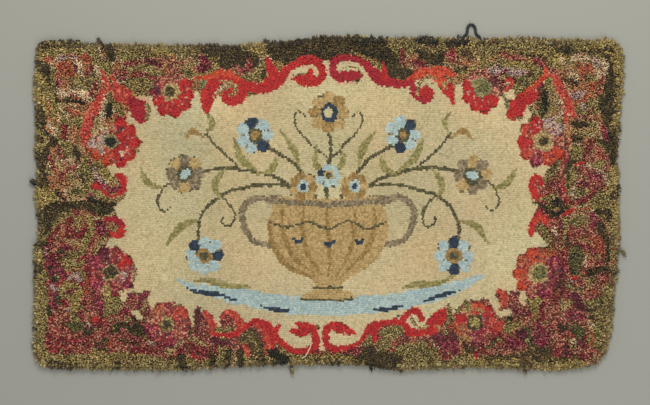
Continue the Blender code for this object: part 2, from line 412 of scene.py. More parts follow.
YARNS = {
    "cream": ((204, 186, 138), (212, 196, 148), (218, 196, 150), (206, 194, 144), (196, 178, 130)),
    "bone": ((218, 198, 170), (230, 212, 184), (196, 168, 138), (222, 188, 168), (178, 138, 118),
             (204, 184, 158)),
    "scarlet": ((166, 34, 44), (184, 38, 42), (194, 46, 42), (176, 38, 48), (206, 60, 46)),
    "ruby": ((150, 32, 48), (168, 36, 50), (158, 30, 44), (178, 42, 50), (164, 40, 60)),
    "orange": ((206, 74, 46), (192, 58, 44), (214, 92, 58), (184, 50, 42), (204, 104, 76)),
    "coral": ((198, 68, 56), (184, 52, 50), (206, 86, 68), (172, 44, 46), (210, 126, 104)),
    "crimson": ((150, 32, 50), (122, 28, 42), (178, 46, 66), (104, 38, 42), (208, 134, 128),
                (132, 96, 62)),
    "magenta": ((152, 34, 68), (172, 50, 84), (122, 28, 56), (200, 110, 124), (94, 32, 50),
                (150, 96, 82)),
    "wine": ((98, 30, 48), (128, 34, 60), (76, 32, 42), (150, 66, 88), (108, 70, 66), (84, 60, 44)),
    "rose": ((176, 70, 72), (196, 124, 110), (150, 40, 52), (208, 162, 140), (112, 48, 46),
             (138, 106, 68)),
    "salmon": ((196, 124, 92), (180, 96, 70), (158, 132, 86), (208, 154, 120), (134, 104, 66),
               (196, 150, 112)),
    "lilac": ((194, 168, 168), (170, 140, 148), (212, 190, 178), (146, 108, 124), (214, 178, 170),
              (168, 144, 118)),
    "olive": ((150, 134, 80), (126, 112, 66), (174, 156, 100), (98, 86, 52), (198, 178, 132),
              (146, 100, 74)),
    "gold": ((172, 148, 88), (150, 128, 74), (190, 168, 106), (124, 106, 62), (206, 184, 128),
             (158, 124, 80)),
    "tan": ((180, 154, 108), (164, 136, 92), (196, 172, 128), (146, 112, 76), (206, 180, 142),
            (172, 126, 100)),
    "grey": ((146, 136, 100), (126, 118, 84), (164, 154, 116), (110, 98, 68), (172, 148, 114)),
    "moss": ((110, 108, 66), (90, 90, 54), (130, 124, 78), (68, 68, 44), (146, 128, 84)),
    "night": ((76, 60, 40), (56, 48, 32), (98, 80, 50), (48, 50, 36), (126, 104, 66), (66, 52, 38)),
    "brick": ((178, 76, 56), (198, 94, 68), (150, 62, 50), (208, 124, 96), (164, 86, 60),
              (142, 104, 70)),
    "pitch": ((40, 40, 32), (52, 48, 38), (32, 34, 28), (64, 56, 42), (46, 52, 40)),
    "brown": ((104, 82, 54), (84, 64, 44), (128, 102, 66), (70, 56, 40), (148, 120, 78)),
}

# The open field's edge, clockwise from the middle of the far side: x, y.
FIELD_EDGE = (
    (-4, 350), (50, 357), (85, 345), (104, 326), (124, 304), (175, 291), (200, 296),
    (234, 318), (262, 308), (285, 278), (305, 246), (312, 290), (322, 290), (333, 252),
    (371, 233), (402, 245), (420, 276), (456, 279), (450, 215), (472, 212), (486, 236),
    (497, 215), (468, 165), (468, 130), (512, 98), (543, 92), (524, 62), (500, 60),
    (496, 30), (516, -4), (500, -30), (494, -76), (520, -76), (542, -106), (500, -110),
    (460, -138), (456, -172), (478, -207), (490, -214), (488, -231), (478, -254),
    (466, -240), (473, -226), (468, -217), (448, -216), (443, -226), (438, -215),
    (410, -216), (412, -230), (422, -256), (447, -262), (445, -275), (424, -281),
    (414, -276), (404, -262), (392, -236), (378, -232), (362, -240), (348, -234),
    (330, -244), (312, -260), (304, -290), (296, -250), (280, -268), (240, -300), (205, -318),
    (176, -292), (126, -296), (95, -318), (66, -346), (40, -357), (-14, -364), (-22, -364),
    (-80, -360), (-118, -336), (-143, -308), (-185, -293), (-220, -298), (-240, -268),
    (-268, -280), (-278, -312), (-298, -282), (-325, -262), (-332, -305), (-340, -300),
    (-342, -275), (-362, -250), (-388, -238), (-425, -246), (-434, -262), (-446, -234),
    (-480, -216), (-506, -244), (-505, -212), (-470, -190), (-474, -150), (-490, -125),
    (-535, -112), (-552, -118), (-535, -88), (-500, -72), (-502, -52), (-530, -12),
    (-497, 15), (-500, 62), (-530, 64), (-546, 96), (-503, 92), (-466, 125), (-470, 165),
    (-497, 200), (-490, 232), (-470, 203), (-437, 228), (-430, 240), (-466, 254),
    (-440, 266), (-425, 250), (-372, 222), (-340, 236), (-326, 274), (-316, 274),
    (-312, 232), (-295, 240), (-268, 268), (-243, 240), (-208, 258), (-165, 268),
    (-108, 304), (-92, 338), (-60, 352), (-22, 345),
)

# Each stroke: its yarn mix, then x, y and width at each point that it runs through. These are
# under the open field's edge.
GROUND_STROKES = (
    ("gold", ((300, 392, 40), (420, 388, 40), (560, 388, 40), (660, 385, 40), (705, 370, 30))),
    ("gold", ((712, 340, 30), (712, 250, 26), (708, 150, 26), (706, 90, 22), (700, 20, 40),
              (700, -20, 30))),
    ("gold", ((480, 345, 60), (560, 350, 50), (600, 345, 30))),
    ("olive", ((400, 350, 60), (460, 330, 60), (540, 330, 40))),
    ("night", ((-300, 378, 30), (-240, 372, 46), (-205, 366, 50), (-190, 340, 36), (-250, 345, 40))),
    ("night", ((-150, 385, 40), (-100, 380, 56), (-20, 380, 60), (60, 384, 46), (120, 380, 56))),
    ("night", ((-130, 355, 20), (-110, 352, 26), (-5, 362, 16))),
    ("night", ((120, 372, 40), (150, 350, 44), (155, 326, 40), (190, 318, 26), (202, 314, 16))),
    ("olive", ((150, 392, 22), (200, 385, 40), (240, 386, 40), (290, 380, 36))),
    ("night", ((220, 372, 16), (245, 355, 34), (275, 350, 28))),
    ("night", ((270, 368, 18), (290, 370, 12))),
    ("brown", ((335, 370, 24), (350, 358, 16))),
    ("gold", ((-210, 384, 18), (-180, 384, 34), (-160, 372, 24))),
    ("olive", ((100, 348, 10), (118, 342, 16), (128, 335, 12))),
    ("gold", ((60, 368, 10), (78, 362, 12), (95, 352, 8))),
    ("gold", ((-120, 340, 10), (-138, 336, 24), (-122, 326, 10))),
    ("olive", ((373, 384, 28), (423, 387, 28), (498, 387, 28), (573, 389, 22), (648, 392, 19))),
    ("night", ((423, 379, 6), (448, 380, 5))),
    ("night", ((470, 367, 8), (488, 360, 9), (508, 360, 10), (530, 357, 8))),
    ("night", ((548, 382, 8), (573, 377, 15), (598, 369, 18), (613, 364, 12))),
    ("night", ((623, 372, 10), (648, 372, 12), (673, 374, 10), (690, 374, 12))),
    ("night", ((682, 352, 22), (690, 320, 26), (690, 280, 28), (688, 235, 28), (682, 195, 20))),
    ("night", ((690, 180, 18), (693, 150, 24), (698, 125, 18), (694, 100, 12))),
    ("night", ((706, 60, 10), (700, 35, 8), (692, 10, 8))),
    ("night", ((662, -55, 18), (675, -85, 22), (686, -110, 16), (680, -140, 12))),
    ("olive", ((700, -50, 24), (705, -120, 26), (700, -200, 30), (690, -260, 34), (690, -330, 30))),
    ("night", ((640, -172, 14), (665, -166, 16), (690, -168, 14))),
    ("night", ((702, -230, 14), (704, -262, 14))),
    ("olive", ((680, -270, 30), (655, -300, 16))),
    ("gold", ((648, -310, 20), (655, -350, 22), (640, -375, 20))),
    ("gold", ((600, -392, 30), (540, -398, 24), (480, -396, 20), (420, -390, 24), (350, -392, 30))),
    ("olive", ((330, -385, 20), (260, -380, 56), (190, -380, 60))),
    ("night", ((60, -378, 10), (95, -372, 26), (130, -382, 44), (165, -385, 40))),
    ("night", ((90, -362, 12), (105, -358, 22), (125, -366, 14))),
    ("olive", ((-60, -392, 12), (0, -385, 20), (60, -390, 16))),
    ("olive", ((-180, -384, 30), (-160, -392, 20))),
    ("gold", ((-560, -392, 30), (-480, -384, 44), (-420, -392, 26), (-340, -396, 24))),
    ("night", ((-365, -376, 22), (-360, -392, 26), (-345, -400, 18))),
    ("olive", ((-690, -385, 26), (-560, -372, 20))),
    ("night", ((-700, -8, 16), (-660, -10, 22), (-620, -8, 20), (-590, -4, 24), (-560, -12, 34),
               (-535, -16, 20))),
    ("gold", ((-700, 35, 34), (-690, 12, 36), (-672, 20, 24))),
    ("gold", ((-676, 270, 20), (-672, 240, 24), (-670, 215, 20))),
    ("night", ((-690, 330, 20), (-685, 300, 14))),
    ("night", ((-709, 384, 8), (-656, 387, 10), (-611, 385, 10), (-576, 388, 9))),
    ("olive", ((-701, 369, 10), (-631, 372, 15), (-576, 364, 15))),
    ("night", ((-551, 384, 18), (-536, 374, 28), (-531, 357, 20))),
    ("olive", ((-511, 374, 28), (-456, 372, 28), (-356, 374, 25))),
    ("gold", ((-431, 364, 8), (-411, 368, 10), (-381, 367, 8))),
    ("night", ((-381, 384, 12), (-335, 390, 12))),
    ("gold", ((-85, -382, 26), (-30, -384, 24))),
    ("olive", ((-719, -330, 20), (-716, -80, 20))),
    ("olive", ((-660, -400, 22), (-330, -402, 22), (0, -398, 18), (300, -402, 24), (600, -402, 24))),
    # Dark places of the rim, from the far edge leftwards round the rug
    ("night", ((298, 392, 20), (330, 393, 18))),
    ("pitch", ((320, 396, 14), (337, 396, 14))),
    ("pitch", ((371, 395, 14), (385, 394, 12))),
    ("brown", ((394, 393, 12), (410, 393, 12))),
    ("pitch", ((222, 395, 14), (240, 398, 16), (260, 395, 14))),
    ("pitch", ((90, 397, 14), (112, 400, 16), (136, 397, 14))),
    ("night", ((-712, 198, 14), (-704, 185, 12), (-681, 160, 10), (-668, 144, 14), (-690, 135, 12),
               (-693, 116, 16), (-700, 94, 14), (-693, 69, 14), (-695, 52, 20))),
    ("night", ((-717, 122, 16), (-714, 104, 14))),
    ("pitch", ((-725, 50, 18), (-692, 46, 16))),
    ("gold", ((-716, -225, 26), (-712, -150, 26), (-716, -108, 22), (-706, 0, 20))),
    ("brown", ((-670, -396, 14), (-640, -399, 14), (-612, -397, 12))),
    ("night", ((-524, -392, 12), (-510, -396, 12))),
    ("night", ((-362, -394, 22), (-348, -402, 18))),
    ("night", ((96, -394, 16), (130, -398, 20), (166, -400, 18))),
)

# The scrolls, leaves and sprigs, and the flecks between them, over the field's edge.
MOTIF_STROKES = (
    # Far border, right of the middle
    ("rose", ((200, 352, 6), (206, 338, 12), (216, 328, 12))),
    ("crimson", ((182, 374, 8), (180, 355, 12), (182, 340, 6))),
    ("crimson", ((212, 346, 12), (228, 338, 16), (244, 330, 8))),
    ("crimson", ((300, 378, 8), (308, 366, 18), (318, 355, 8))),
    ("rose", ((290, 366, 10), (300, 348, 16), (318, 338, 12), (335, 332, 10))),
    ("tan", ((285, 345, 10), (300, 336, 16), (326, 330, 10))),
    ("night", ((310, 322, 10), (330, 326, 12), (345, 322, 8))),
    ("gold", ((320, 318, 10), (345, 318, 12), (360, 330, 14))),
    ("orange", ((196, 298, 14), (214, 311, 20), (232, 319, 21), (252, 317, 23), (268, 306, 27),
                (281, 288, 24), (308, 242, 3))),
    ("orange", ((256, 331, 8), (280, 324, 20), (304, 316, 11), (314, 313, 3))),
    ("scarlet", ((282, 276, 14), (294, 266, 16), (304, 252, 10), (308, 243, 4))),
    ("scarlet", ((290, 292, 14), (298, 280, 16), (304, 264, 12))),
    ("tan", ((312, 303, 7), (292, 301, 8), (281, 288, 8), (290, 279, 5))),
    ("orange", ((204, 306, 16), (208, 280, 12))),
    ("ruby", ((208, 282, 16), (212, 268, 18), (226, 257, 20), (242, 256, 20), (250, 266, 16))),
    ("scarlet", ((236, 272, 28), (242, 270, 28))),
    ("tan", ((264, 303, 4), (242, 307, 8), (225, 296, 10), (218, 279, 8), (221, 264, 4))),
    ("bone", ((262, 289, 5), (248, 291, 5), (238, 289, 4))),
    ("ruby", ((202, 294, 14), (175, 291, 18), (150, 297, 23), (128, 304, 32), (112, 317, 26),
              (97, 333, 20), (75, 349, 17), (45, 356, 17), (20, 352, 21), (12, 333, 18), (16, 313, 19),
              (35, 308, 28), (58, 312, 27), (76, 315, 16), (84, 317, 4))),
    ("scarlet", ((132, 350, 3), (138, 310, 22))),
    ("olive", ((36, 331, 3), (55, 334, 5), (72, 328, 6), (82, 318, 7))),
    ("brown", ((66, 298, 9), (76, 300, 8))),
    # Far border, left of the middle
    ("magenta", ((-310, 352, 24), (-300, 338, 30), (-318, 330, 16))),
    ("gold", ((-350, 318, 10), (-315, 312, 10), (-290, 318, 9), (-272, 336, 10))),
    ("rose", ((-236, 330, 12), (-216, 325, 16), (-205, 312, 12), (-200, 322, 8))),
    ("crimson", ((-192, 352, 12), (-196, 335, 18), (-206, 326, 10))),
    ("olive", ((-200, 305, 26), (-180, 300, 30), (-172, 318, 24), (-176, 332, 16))),
    ("night", ((-158, 322, 10), (-158, 314, 14))),
    ("scarlet", ((-150, 353, 8), (-142, 336, 20), (-133, 312, 28))),
    ("scarlet", ((-285, 300, 26), (-258, 304, 24), (-232, 300, 24), (-212, 288, 26), (-192, 284, 24),
                 (-168, 281, 26), (-145, 290, 36), (-121, 303, 30), (-106, 325, 20), (-90, 338, 17),
                 (-70, 349, 20), (-45, 352, 22), (-26, 345, 22), (-15, 326, 22), (-19, 307, 20),
                 (-36, 300, 28), (-58, 302, 32), (-78, 306, 15), (-92, 304, 3))),
    ("scarlet", ((-45, 325, 13), (-45, 305, 18))),
    ("olive", ((-88, 313, 3), (-72, 319, 5), (-54, 321, 4))),
    ("scarlet", ((-208, 284, 22), (-212, 262, 26), (-232, 248, 23), (-250, 256, 22), (-252, 268, 15),
                 (-238, 276, 10))),
    ("tan", ((-280, 300, 4), (-240, 293, 9), (-225, 279, 9), (-229, 263, 5))),
    ("orange", ((-262, 318, 16), (-245, 315, 18), (-226, 306, 12))),
    ("scarlet", ((-300, 232, 20), (-296, 256, 34), (-290, 278, 40), (-282, 300, 24))),
    ("bone", ((-280, 262, 5), (-270, 276, 8), (-258, 286, 7), (-246, 283, 6))),
    ("orange", ((-330, 302, 10), (-300, 306, 14), (-272, 316, 18), (-258, 326, 8))),
    ("grey", ((-322, 296, 8), (-305, 294, 12), (-312, 280, 10))),
    # Far right flower and leaf
    ("rose", ((345, 308, 12), (365, 320, 12), (415, 330, 12))),
    ("crimson", ((425, 365, 10), (475, 354, 10))),
    ("salmon", ((470, 356, 8), (490, 347, 10), (510, 342, 8))),
    ("lilac", ((395, 326, 14), (420, 330, 14), (440, 322, 10), (462, 326, 18), (475, 320, 10))),
    ("rose", ((505, 352, 14), (525, 342, 18), (528, 330, 10))),
    ("brown", ((445, 308, 12), (472, 290, 12))),
    ("rose", ((420, 300, 10), (432, 290, 24), (428, 278, 18))),
    ("scarlet", ((445, 304, 9), (450, 292, 12), (440, 284, 12))),
    ("moss", ((470, 302, 10), (498, 306, 8))),
    ("scarlet", ((530, 318, 6), (523, 300, 15), (508, 283, 22), (472, 250, 36), (459, 231, 44),
                 (451, 216, 30))),
    ("orange", ((518, 300, 8), (503, 284, 11), (486, 274, 10), (478, 262, 8))),
    ("crimson", ((522, 290, 10), (514, 272, 18), (516, 258, 16))),
    ("scarlet", ((505, 262, 20), (490, 250, 18))),
    ("olive", ((458, 206, 6), (470, 206, 7), (476, 210, 5))),
    ("grey", ((432, 262, 8), (436, 248, 12), (438, 232, 10))),
    ("night", ((526, 278, 10), (531, 252, 20), (527, 212, 8))),
    ("orange", ((530, 336, 8), (533, 322, 12), (528, 306, 10))),
    ("rose", ((536, 328, 10), (560, 324, 10), (566, 316, 6))),
    ("gold", ((546, 284, 18), (550, 258, 24), (546, 230, 24))),
    ("tan", ((536, 218, 12), (548, 205, 12))),
    ("rose", ((600, 207, 9), (625, 206, 7), (650, 209, 6), (656, 216, 5))),
    ("bone", ((570, 298, 8), (582, 282, 8), (590, 262, 6))),
    ("scarlet", ((577, 250, 11), (586, 170, 9), (591, 145, 13), (578, 95, 13), (576, 60, 13),
                 (578, 30, 13), (585, 8, 14))),
    ("bone", ((590, 200, 6), (594, 160, 5))),
    # Far right corner
    ("bone", ((574, 352, 15), (580, 339, 12))),
    ("bone", ((598, 354, 15), (615, 358, 16), (634, 354, 12))),
    ("lilac", ((653, 352, 15), (661, 340, 15))),
    ("bone", ((674, 349, 15), (681, 334, 15), (678, 319, 12))),
    ("brick", ((614, 339, 12), (628, 332, 22), (641, 337, 15))),
    ("brick", ((623, 314, 12), (631, 304, 10))),
    ("tan", ((588, 334, 15), (601, 324, 15))),
    ("bone", ((596, 317, 10), (609, 312, 10))),
    ("night", ((578, 304, 9), (608, 294, 12))),
    ("wine", ((589, 304, 6), (595, 304, 5))),
    ("olive", ((638, 307, 18), (658, 304, 12))),
    ("brick", ((644, 287, 15), (655, 292, 12), (648, 277, 12))),
    ("bone", ((658, 324, 14), (663, 312, 12))),
    ("crimson", ((670, 307, 8), (658, 267, 8))),
    ("lilac", ((599, 262, 16), (615, 264, 15), (629, 269, 10))),
    ("olive", ((605, 232, 18), (630, 219, 15), (650, 249, 16))),
    ("lilac", ((623, 239, 12), (629, 234, 10))),
    ("brick", ((631, 262, 12), (623, 252, 10), (608, 248, 10))),
    ("rose", ((645, 229, 10), (633, 212, 10), (615, 212, 10))),
    ("night", ((668, 262, 15), (678, 212, 18))),
    ("olive", ((623, 199, 15), (648, 187, 18))),
    ("night", ((596, 197, 9), (615, 192, 14), (635, 194, 9))),
    ("crimson", ((673, 194, 9), (675, 179, 10))),
    ("coral", ((544, 312, 12), (558, 304, 19), (570, 277, 20), (583, 252, 24), (594, 227, 20),
               (600, 214, 12))),
    ("coral", ((578, 252, 12), (580, 222, 12), (583, 197, 12), (588, 167, 12))),
    ("rose", ((573, 257, 5), (579, 207, 5), (585, 187, 5))),
    ("tan", ((548, 272, 15), (553, 247, 20), (555, 222, 14))),
    ("pitch", ((531, 272, 10), (533, 249, 14), (528, 227, 12))),
    ("moss", ((518, 244, 14), (520, 227, 14))),
    ("rose", ((530, 339, 10), (538, 325, 10), (549, 319, 9))),
    ("orange", ((531, 328, 6), (534, 312, 10), (523, 299, 12))),
    ("crimson", ((438, 355, 9), (458, 354, 10), (476, 347, 8))),
    ("salmon", ((396, 350, 6), (410, 357, 7), (433, 360, 6))),
    ("crimson", ((508, 344, 12), (518, 337, 12), (526, 345, 9))),
    ("gold", ((438, 339, 15), (468, 337, 19), (498, 332, 15))),
    ("crimson", ((363, 314, 9), (393, 311, 10), (423, 318, 9), (438, 325, 7))),
    ("lilac", ((398, 318, 8), (435, 328, 9))),
    ("lilac", ((448, 317, 14), (468, 319, 18), (483, 322, 12))),
    ("wine", ((490, 315, 9), (499, 315, 8))),
    ("olive", ((513, 312, 15), (478, 292, 22), (460, 279, 15))),
    ("coral", ((438, 299, 9), (448, 292, 14), (438, 278, 12))),
    ("bone", ((436, 292, 8), (439, 294, 6))),
    # Right border, from the far corner to the near one
    ("salmon", ((585, 191, 12), (585, 161, 15), (590, 146, 12))),
    ("crimson", ((593, 149, 12), (583, 111, 15), (575, 76, 15))),
    ("rose", ((570, 81, 20), (563, 61, 30), (553, 46, 35), (578, 9, 18))),
    ("crimson", ((548, 51, 15), (563, 36, 18), (583, 1, 10))),
    ("olive", ((568, 119, 12), (563, 104, 20), (555, 86, 20), (545, 71, 18), (528, 47, 10))),
    ("brown", ((558, 109, 5), (553, 91, 8), (543, 74, 5))),
    ("tan", ((598, 176, 12), (618, 174, 18), (635, 176, 15))),
    ("night", ((598, 159, 12), (608, 154, 18), (620, 156, 10))),
    ("salmon", ((630, 161, 12), (635, 149, 12), (623, 146, 10))),
    ("tan", ((638, 179, 18), (655, 176, 22), (663, 164, 15))),
    ("magenta", ((673, 186, 12), (675, 169, 12), (680, 154, 10))),
    ("night", ((648, 156, 6), (663, 154, 8), (678, 144, 12), (685, 129, 10))),
    ("olive", ((600, 134, 22), (613, 126, 28), (618, 114, 20), (600, 116, 15))),
    ("gold", ((598, 139, 10), (610, 136, 10))),
    ("crimson", ((643, 149, 12), (630, 116, 15))),
    ("rose", ((650, 141, 18), (660, 129, 22), (653, 111, 22), (638, 109, 18))),
    ("brick", ((670, 124, 12), (670, 109, 12))),
    ("olive", ((655, 101, 12), (668, 86, 10))),
    ("rose", ((683, 114, 12), (683, 96, 12), (678, 79, 12))),
    ("olive", ((595, 84, 20), (593, 61, 25), (590, 41, 22), (593, 21, 15))),
    ("brown", ((590, 74, 6), (585, 51, 6), (588, 31, 5))),
    ("night", ((583, 74, 10), (585, 91, 12), (595, 101, 10), (623, 105, 5))),
    ("scarlet", ((608, 94, 10), (620, 99, 12))),
    ("rose", ((620, 79, 28), (640, 74, 32), (653, 61, 28), (640, 46, 30), (620, 46, 30))),
    ("bone", ((633, 94, 12), (640, 91, 10))),
    ("magenta", ((648, 66, 12), (665, 66, 15), (668, 51, 10))),
    ("wine", ((625, 51, 12), (635, 41, 10))),
    ("bone", ((598, 36, 12), (600, 21, 12), (608, 11, 8))),
    ("crimson", ((598, 1, 12), (620, 4, 15), (640, 14, 15), (658, 34, 15), (670, 44, 12))),
    ("olive", ((610, 31, 15), (625, 26, 20))),
    ("moss", ((620, 29, 10), (623, 26, 10))),
    ("night", ((645, -1, 4), (673, 41, 5))),
    ("olive", ((680, -4, 22), (673, 16, 30), (653, -6, 28))),
    ("night", ((655, -21, 15), (673, -24, 18), (685, -19, 12), (683, -39, 15))),
    ("gold", ((673, -34, 8), (663, -39, 8))),
    ("scarlet", ((508, 66, 15), (500, 51, 18), (500, 34, 20), (508, 19, 22), (518, 11, 15))),
    ("scarlet", ((515, 61, 12), (520, 44, 15), (513, 31, 20))),
    ("rose", ((505, 44, 8), (518, 26, 10), (523, 36, 10))),
    ("rose", ((538, 41, 20), (538, 26, 20))),
    ("olive", ((520, 9, 8), (538, 11, 10), (555, 19, 10))),
    ("night", ((505, 4, 4), (528, -9, 10), (548, -6, 22), (563, 6, 18), (570, -6, 15), (585, -9, 12))),
    ("pitch", ((558, 7, 10), (568, 1, 8))),
    ("pitch", ((538, -21, 10), (558, -26, 10), (573, -19, 8))),
    ("olive", ((538, -9, 6), (550, -14, 6), (563, -9, 5))),
    ("scarlet", ((498, -77, 12), (498, -59, 15), (505, -42, 22), (520, -34, 22), (535, -44, 20),
                 (543, -54, 10))),
    ("orange", ((505, -44, 10), (518, -34, 10), (530, -42, 8))),
    ("rose", ((548, -49, 22), (558, -67, 30), (563, -87, 28), (570, -102, 18))),
    ("olive", ((510, -59, 8), (520, -59, 15), (530, -69, 18), (538, -84, 18), (545, -99, 18),
               (563, -112, 12), (578, -104, 10))),
    ("bone", ((553, -64, 10), (558, -77, 8))),
    ("magenta", ((568, -44, 12), (573, -57, 10))),
    ("night", ((545, -31, 8), (558, -31, 8))),
    ("olive", ((578, -37, 15), (583, -69, 10))),
    ("scarlet", ((575, -29, 10), (588, -24, 12), (598, -17, 10))),
    ("olive", ((605, -37, 22), (615, -44, 30), (610, -57, 20))),
    ("tan", ((598, -34, 10), (628, -34, 12), (630, -52, 10))),
    ("magenta", ((643, -34, 15), (650, -44, 18), (648, -59, 12))),
    ("night", ((585, -87, 10), (585, -102, 8))),
    ("brick", ((600, -74, 22), (648, -87, 28), (660, -107, 22))),
    ("rose", ((593, -57, 12), (613, -72, 15), (640, -67, 18), (653, -77, 15))),
    ("salmon", ((623, -97, 22), (640, -104, 22), (633, -124, 20), (648, -132, 20))),
    ("crimson", ((608, -102, 10), (643, -114, 12), (648, -127, 10))),
    ("brick", ((665, -87, 15), (670, -109, 18), (673, -129, 15))),
    ("crimson", ((673, -134, 10), (660, -147, 10))),
    ("bone", ((630, -137, 10), (630, -154, 12))),
    ("rose", ((628, -169, 15), (625, -184, 12))),
    ("night", ((663, -44, 10), (678, -79, 12), (683, -104, 10))),
    ("moss", ((603, -119, 30), (605, -139, 35), (603, -162, 30), (605, -177, 15))),
    ("night", ((604, -114, 5), (600, -144, 6))),
    ("night", ((595, -162, 10), (600, -167, 10))),
    ("crimson", ((578, -122, 12), (575, -139, 15), (578, -159, 18), (580, -179, 12))),
    ("magenta", ((563, -147, 15), (573, -162, 12))),
    ("lilac", ((595, -189, 12), (605, -189, 15))),
    ("scarlet", ((600, -182, 8), (613, -184, 8))),
    ("rose", ((610, -194, 12), (613, -197, 10))),
    ("night", ((643, -179, 10), (670, -159, 15), (688, -164, 12))),
    ("rose", ((660, -184, 15), (673, -194, 20), (665, -209, 15))),
    ("tan", ((640, -189, 10), (640, -204, 12), (650, -209, 8))),
    ("moss", ((646, -191, 12), (650, -197, 12))),
    ("brick", ((658, -219, 12), (648, -214, 10))),
    ("olive", ((593, -204, 15), (605, -214, 18), (623, -214, 12))),
    ("wine", ((605, -229, 20), (620, -259, 15))),
    ("magenta", ((593, -224, 12), (620, -237, 10))),
    ("olive", ((638, -247, 22), (653, -262, 28), (673, -242, 32), (683, -214, 22))),
    ("brick", ((558, -114, 20), (548, -129, 18))),
    ("crimson", ((563, -194, 10), (573, -214, 12), (550, -244, 22), (570, -264, 20))),
    ("coral", ((418, -219, 12), (430, -224, 18), (435, -239, 15), (428, -254, 12))),
    ("brick", ((415, -229, 8), (423, -249, 10), (423, -264, 8))),
    ("wine", ((450, -222, 12), (465, -222, 12))),
    ("rose", ((448, -237, 18), (453, -229, 10))),
    ("gold", ((523, -227, 15), (505, -254, 32), (510, -272, 22))),
    ("gold", ((498, -241, 25), (510, -268, 18))),
    ("rose", ((458, -241, 18), (453, -228, 15), (463, -253, 15), (478, -261, 12))),
    ("magenta", ((453, -263, 15), (468, -271, 15), (488, -273, 18), (498, -288, 12))),
    ("rose", ((478, -283, 18), (493, -293, 15), (473, -291, 12))),
    ("crimson", ((530, -248, 20), (523, -266, 18), (520, -286, 18))),
    ("rose", ((548, -248, 25), (540, -268, 28), (550, -286, 28), (568, -268, 22))),
    ("tan", ((570, -241, 12), (578, -258, 15), (580, -273, 12))),
    ("salmon", ((510, -278, 12), (498, -278, 12))),
    ("wine", ((608, -228, 20), (620, -256, 18))),
    ("gold", ((590, -238, 10), (593, -251, 12))),
    ("magenta", ((588, -273, 18), (603, -278, 22), (620, -281, 18))),
    ("olive", ((643, -258, 20), (658, -243, 25), (653, -271, 18))),
    ("night", ((633, -256, 8), (648, -263, 8), (660, -256, 6), (673, -243, 6))),
    ("night", ((643, -281, 6), (658, -276, 6))),
    ("bone", ((640, -291, 10), (653, -301, 10))),
    ("rose", ((593, -296, 12), (613, -291, 12), (630, -296, 12), (635, -313, 12))),
    ("night", ((568, -303, 15), (578, -303, 12), (585, -296, 8))),
    ("moss", ((600, -306, 15), (613, -311, 28), (615, -326, 20), (608, -336, 12))),
    ("brick", ((588, -318, 12), (590, -326, 10))),
    ("brick", ((648, -318, 6), (648, -336, 6), (645, -351, 6))),
    ("bone", ((598, -338, 12), (605, -348, 12))),
    ("wine", ((583, -348, 15), (585, -363, 15), (593, -371, 10), (623, -338, 10))),
    ("crimson", ((553, -361, 12), (568, -368, 12), (563, -353, 10))),
    ("rose", ((568, -336, 22), (558, -323, 20), (573, -323, 15))),
    ("rose", ((610, -363, 22), (630, -373, 22), (655, -368, 20), (640, -358, 15))),
    ("crimson", ((623, -376, 10), (640, -378, 10), (648, -363, 10))),
    ("tan", ((663, -376, 12), (673, -368, 10), (648, -383, 10))),
    ("magenta", ((513, -298, 15), (523, -318, 20), (510, -338, 20), (528, -338, 22), (538, -323, 12))),
    ("moss", ((488, -311, 12), (495, -323, 12), (498, -338, 15), (495, -348, 10))),
    ("pitch", ((498, -336, 8), (495, -346, 6))),
    ("wine", ((468, -323, 20), (483, -323, 12), (478, -336, 15))),
    ("magenta", ((438, -338, 20), (458, -346, 20), (478, -348, 18), (438, -356, 20), (458, -361, 15))),
    ("rose", ((418, -348, 18), (405, -361, 18), (430, -366, 15), (473, -361, 12), (488, -356, 12))),
    ("gold", ((438, -296, 18), (453, -301, 22), (438, -311, 20), (468, -303, 15))),
    ("olive", ((433, -288, 12), (443, -321, 10))),
    ("pitch", ((444, -285, 10), (446, -287, 10))),
    ("coral", ((408, -301, 12), (423, -296, 12), (405, -318, 18))),
    ("moss", ((403, -341, 10), (390, -351, 10), (398, -348, 8))),
    ("wine", ((318, -328, 20), (303, -323, 20), (328, -346, 20), (313, -353, 18))),
    ("magenta", ((305, -338, 15), (323, -358, 15), (310, -368, 15))),
    ("salmon", ((328, -368, 10), (320, -313, 15), (313, -301, 15))),
    ("brown", ((340, -353, 15), (345, -366, 12), (353, -361, 12))),
    ("ruby", ((360, -373, 12), (363, -378, 8))),
    ("brick", ((313, -293, 15), (303, -306, 15))),
    ("brown", ((385, -378, 8), (410, -378, 10), (438, -377, 12), (463, -373, 10), (488, -373, 15),
               (510, -368, 25), (528, -366, 28), (540, -373, 20))),
    ("brown", ((468, -388, 12), (485, -391, 15))),
    ("gold", ((505, -401, 12), (538, -401, 15), (598, -396, 20), (628, -391, 15))),
    ("night", ((548, -386, 8), (570, -381, 6), (593, -378, 5))),
    ("olive", ((665, -306, 28), (670, -331, 25), (670, -353, 20))),
    # Near border, right of the middle
    ("olive", ((294, -252, 12), (298, -272, 14), (294, -292, 12), (282, -304, 14))),
    ("scarlet", ((285, -262, 10), (276, -274, 26), (264, -288, 34), (248, -304, 28), (228, -316, 20),
                 (206, -319, 20), (188, -308, 22), (180, -290, 20), (190, -272, 17), (208, -263, 18),
                 (224, -270, 18), (228, -284, 16), (224, -290, 8))),
    ("scarlet", ((268, -302, 12), (256, -316, 20), (246, -322, 14))),
    ("tan", ((204, -275, 6), (206, -293, 9), (216, -304, 9), (232, -306, 7), (244, -300, 3))),
    ("salmon", ((262, -300, 8), (280, -306, 8))),
    ("brown", ((172, -274, 5), (166, -284, 8))),
    ("scarlet", ((182, -302, 14), (165, -292, 17), (145, -294, 16), (126, -294, 16), (112, -303, 28),
                 (97, -312, 20), (86, -328, 12), (66, -345, 12), (44, -355, 13), (16, -358, 16),
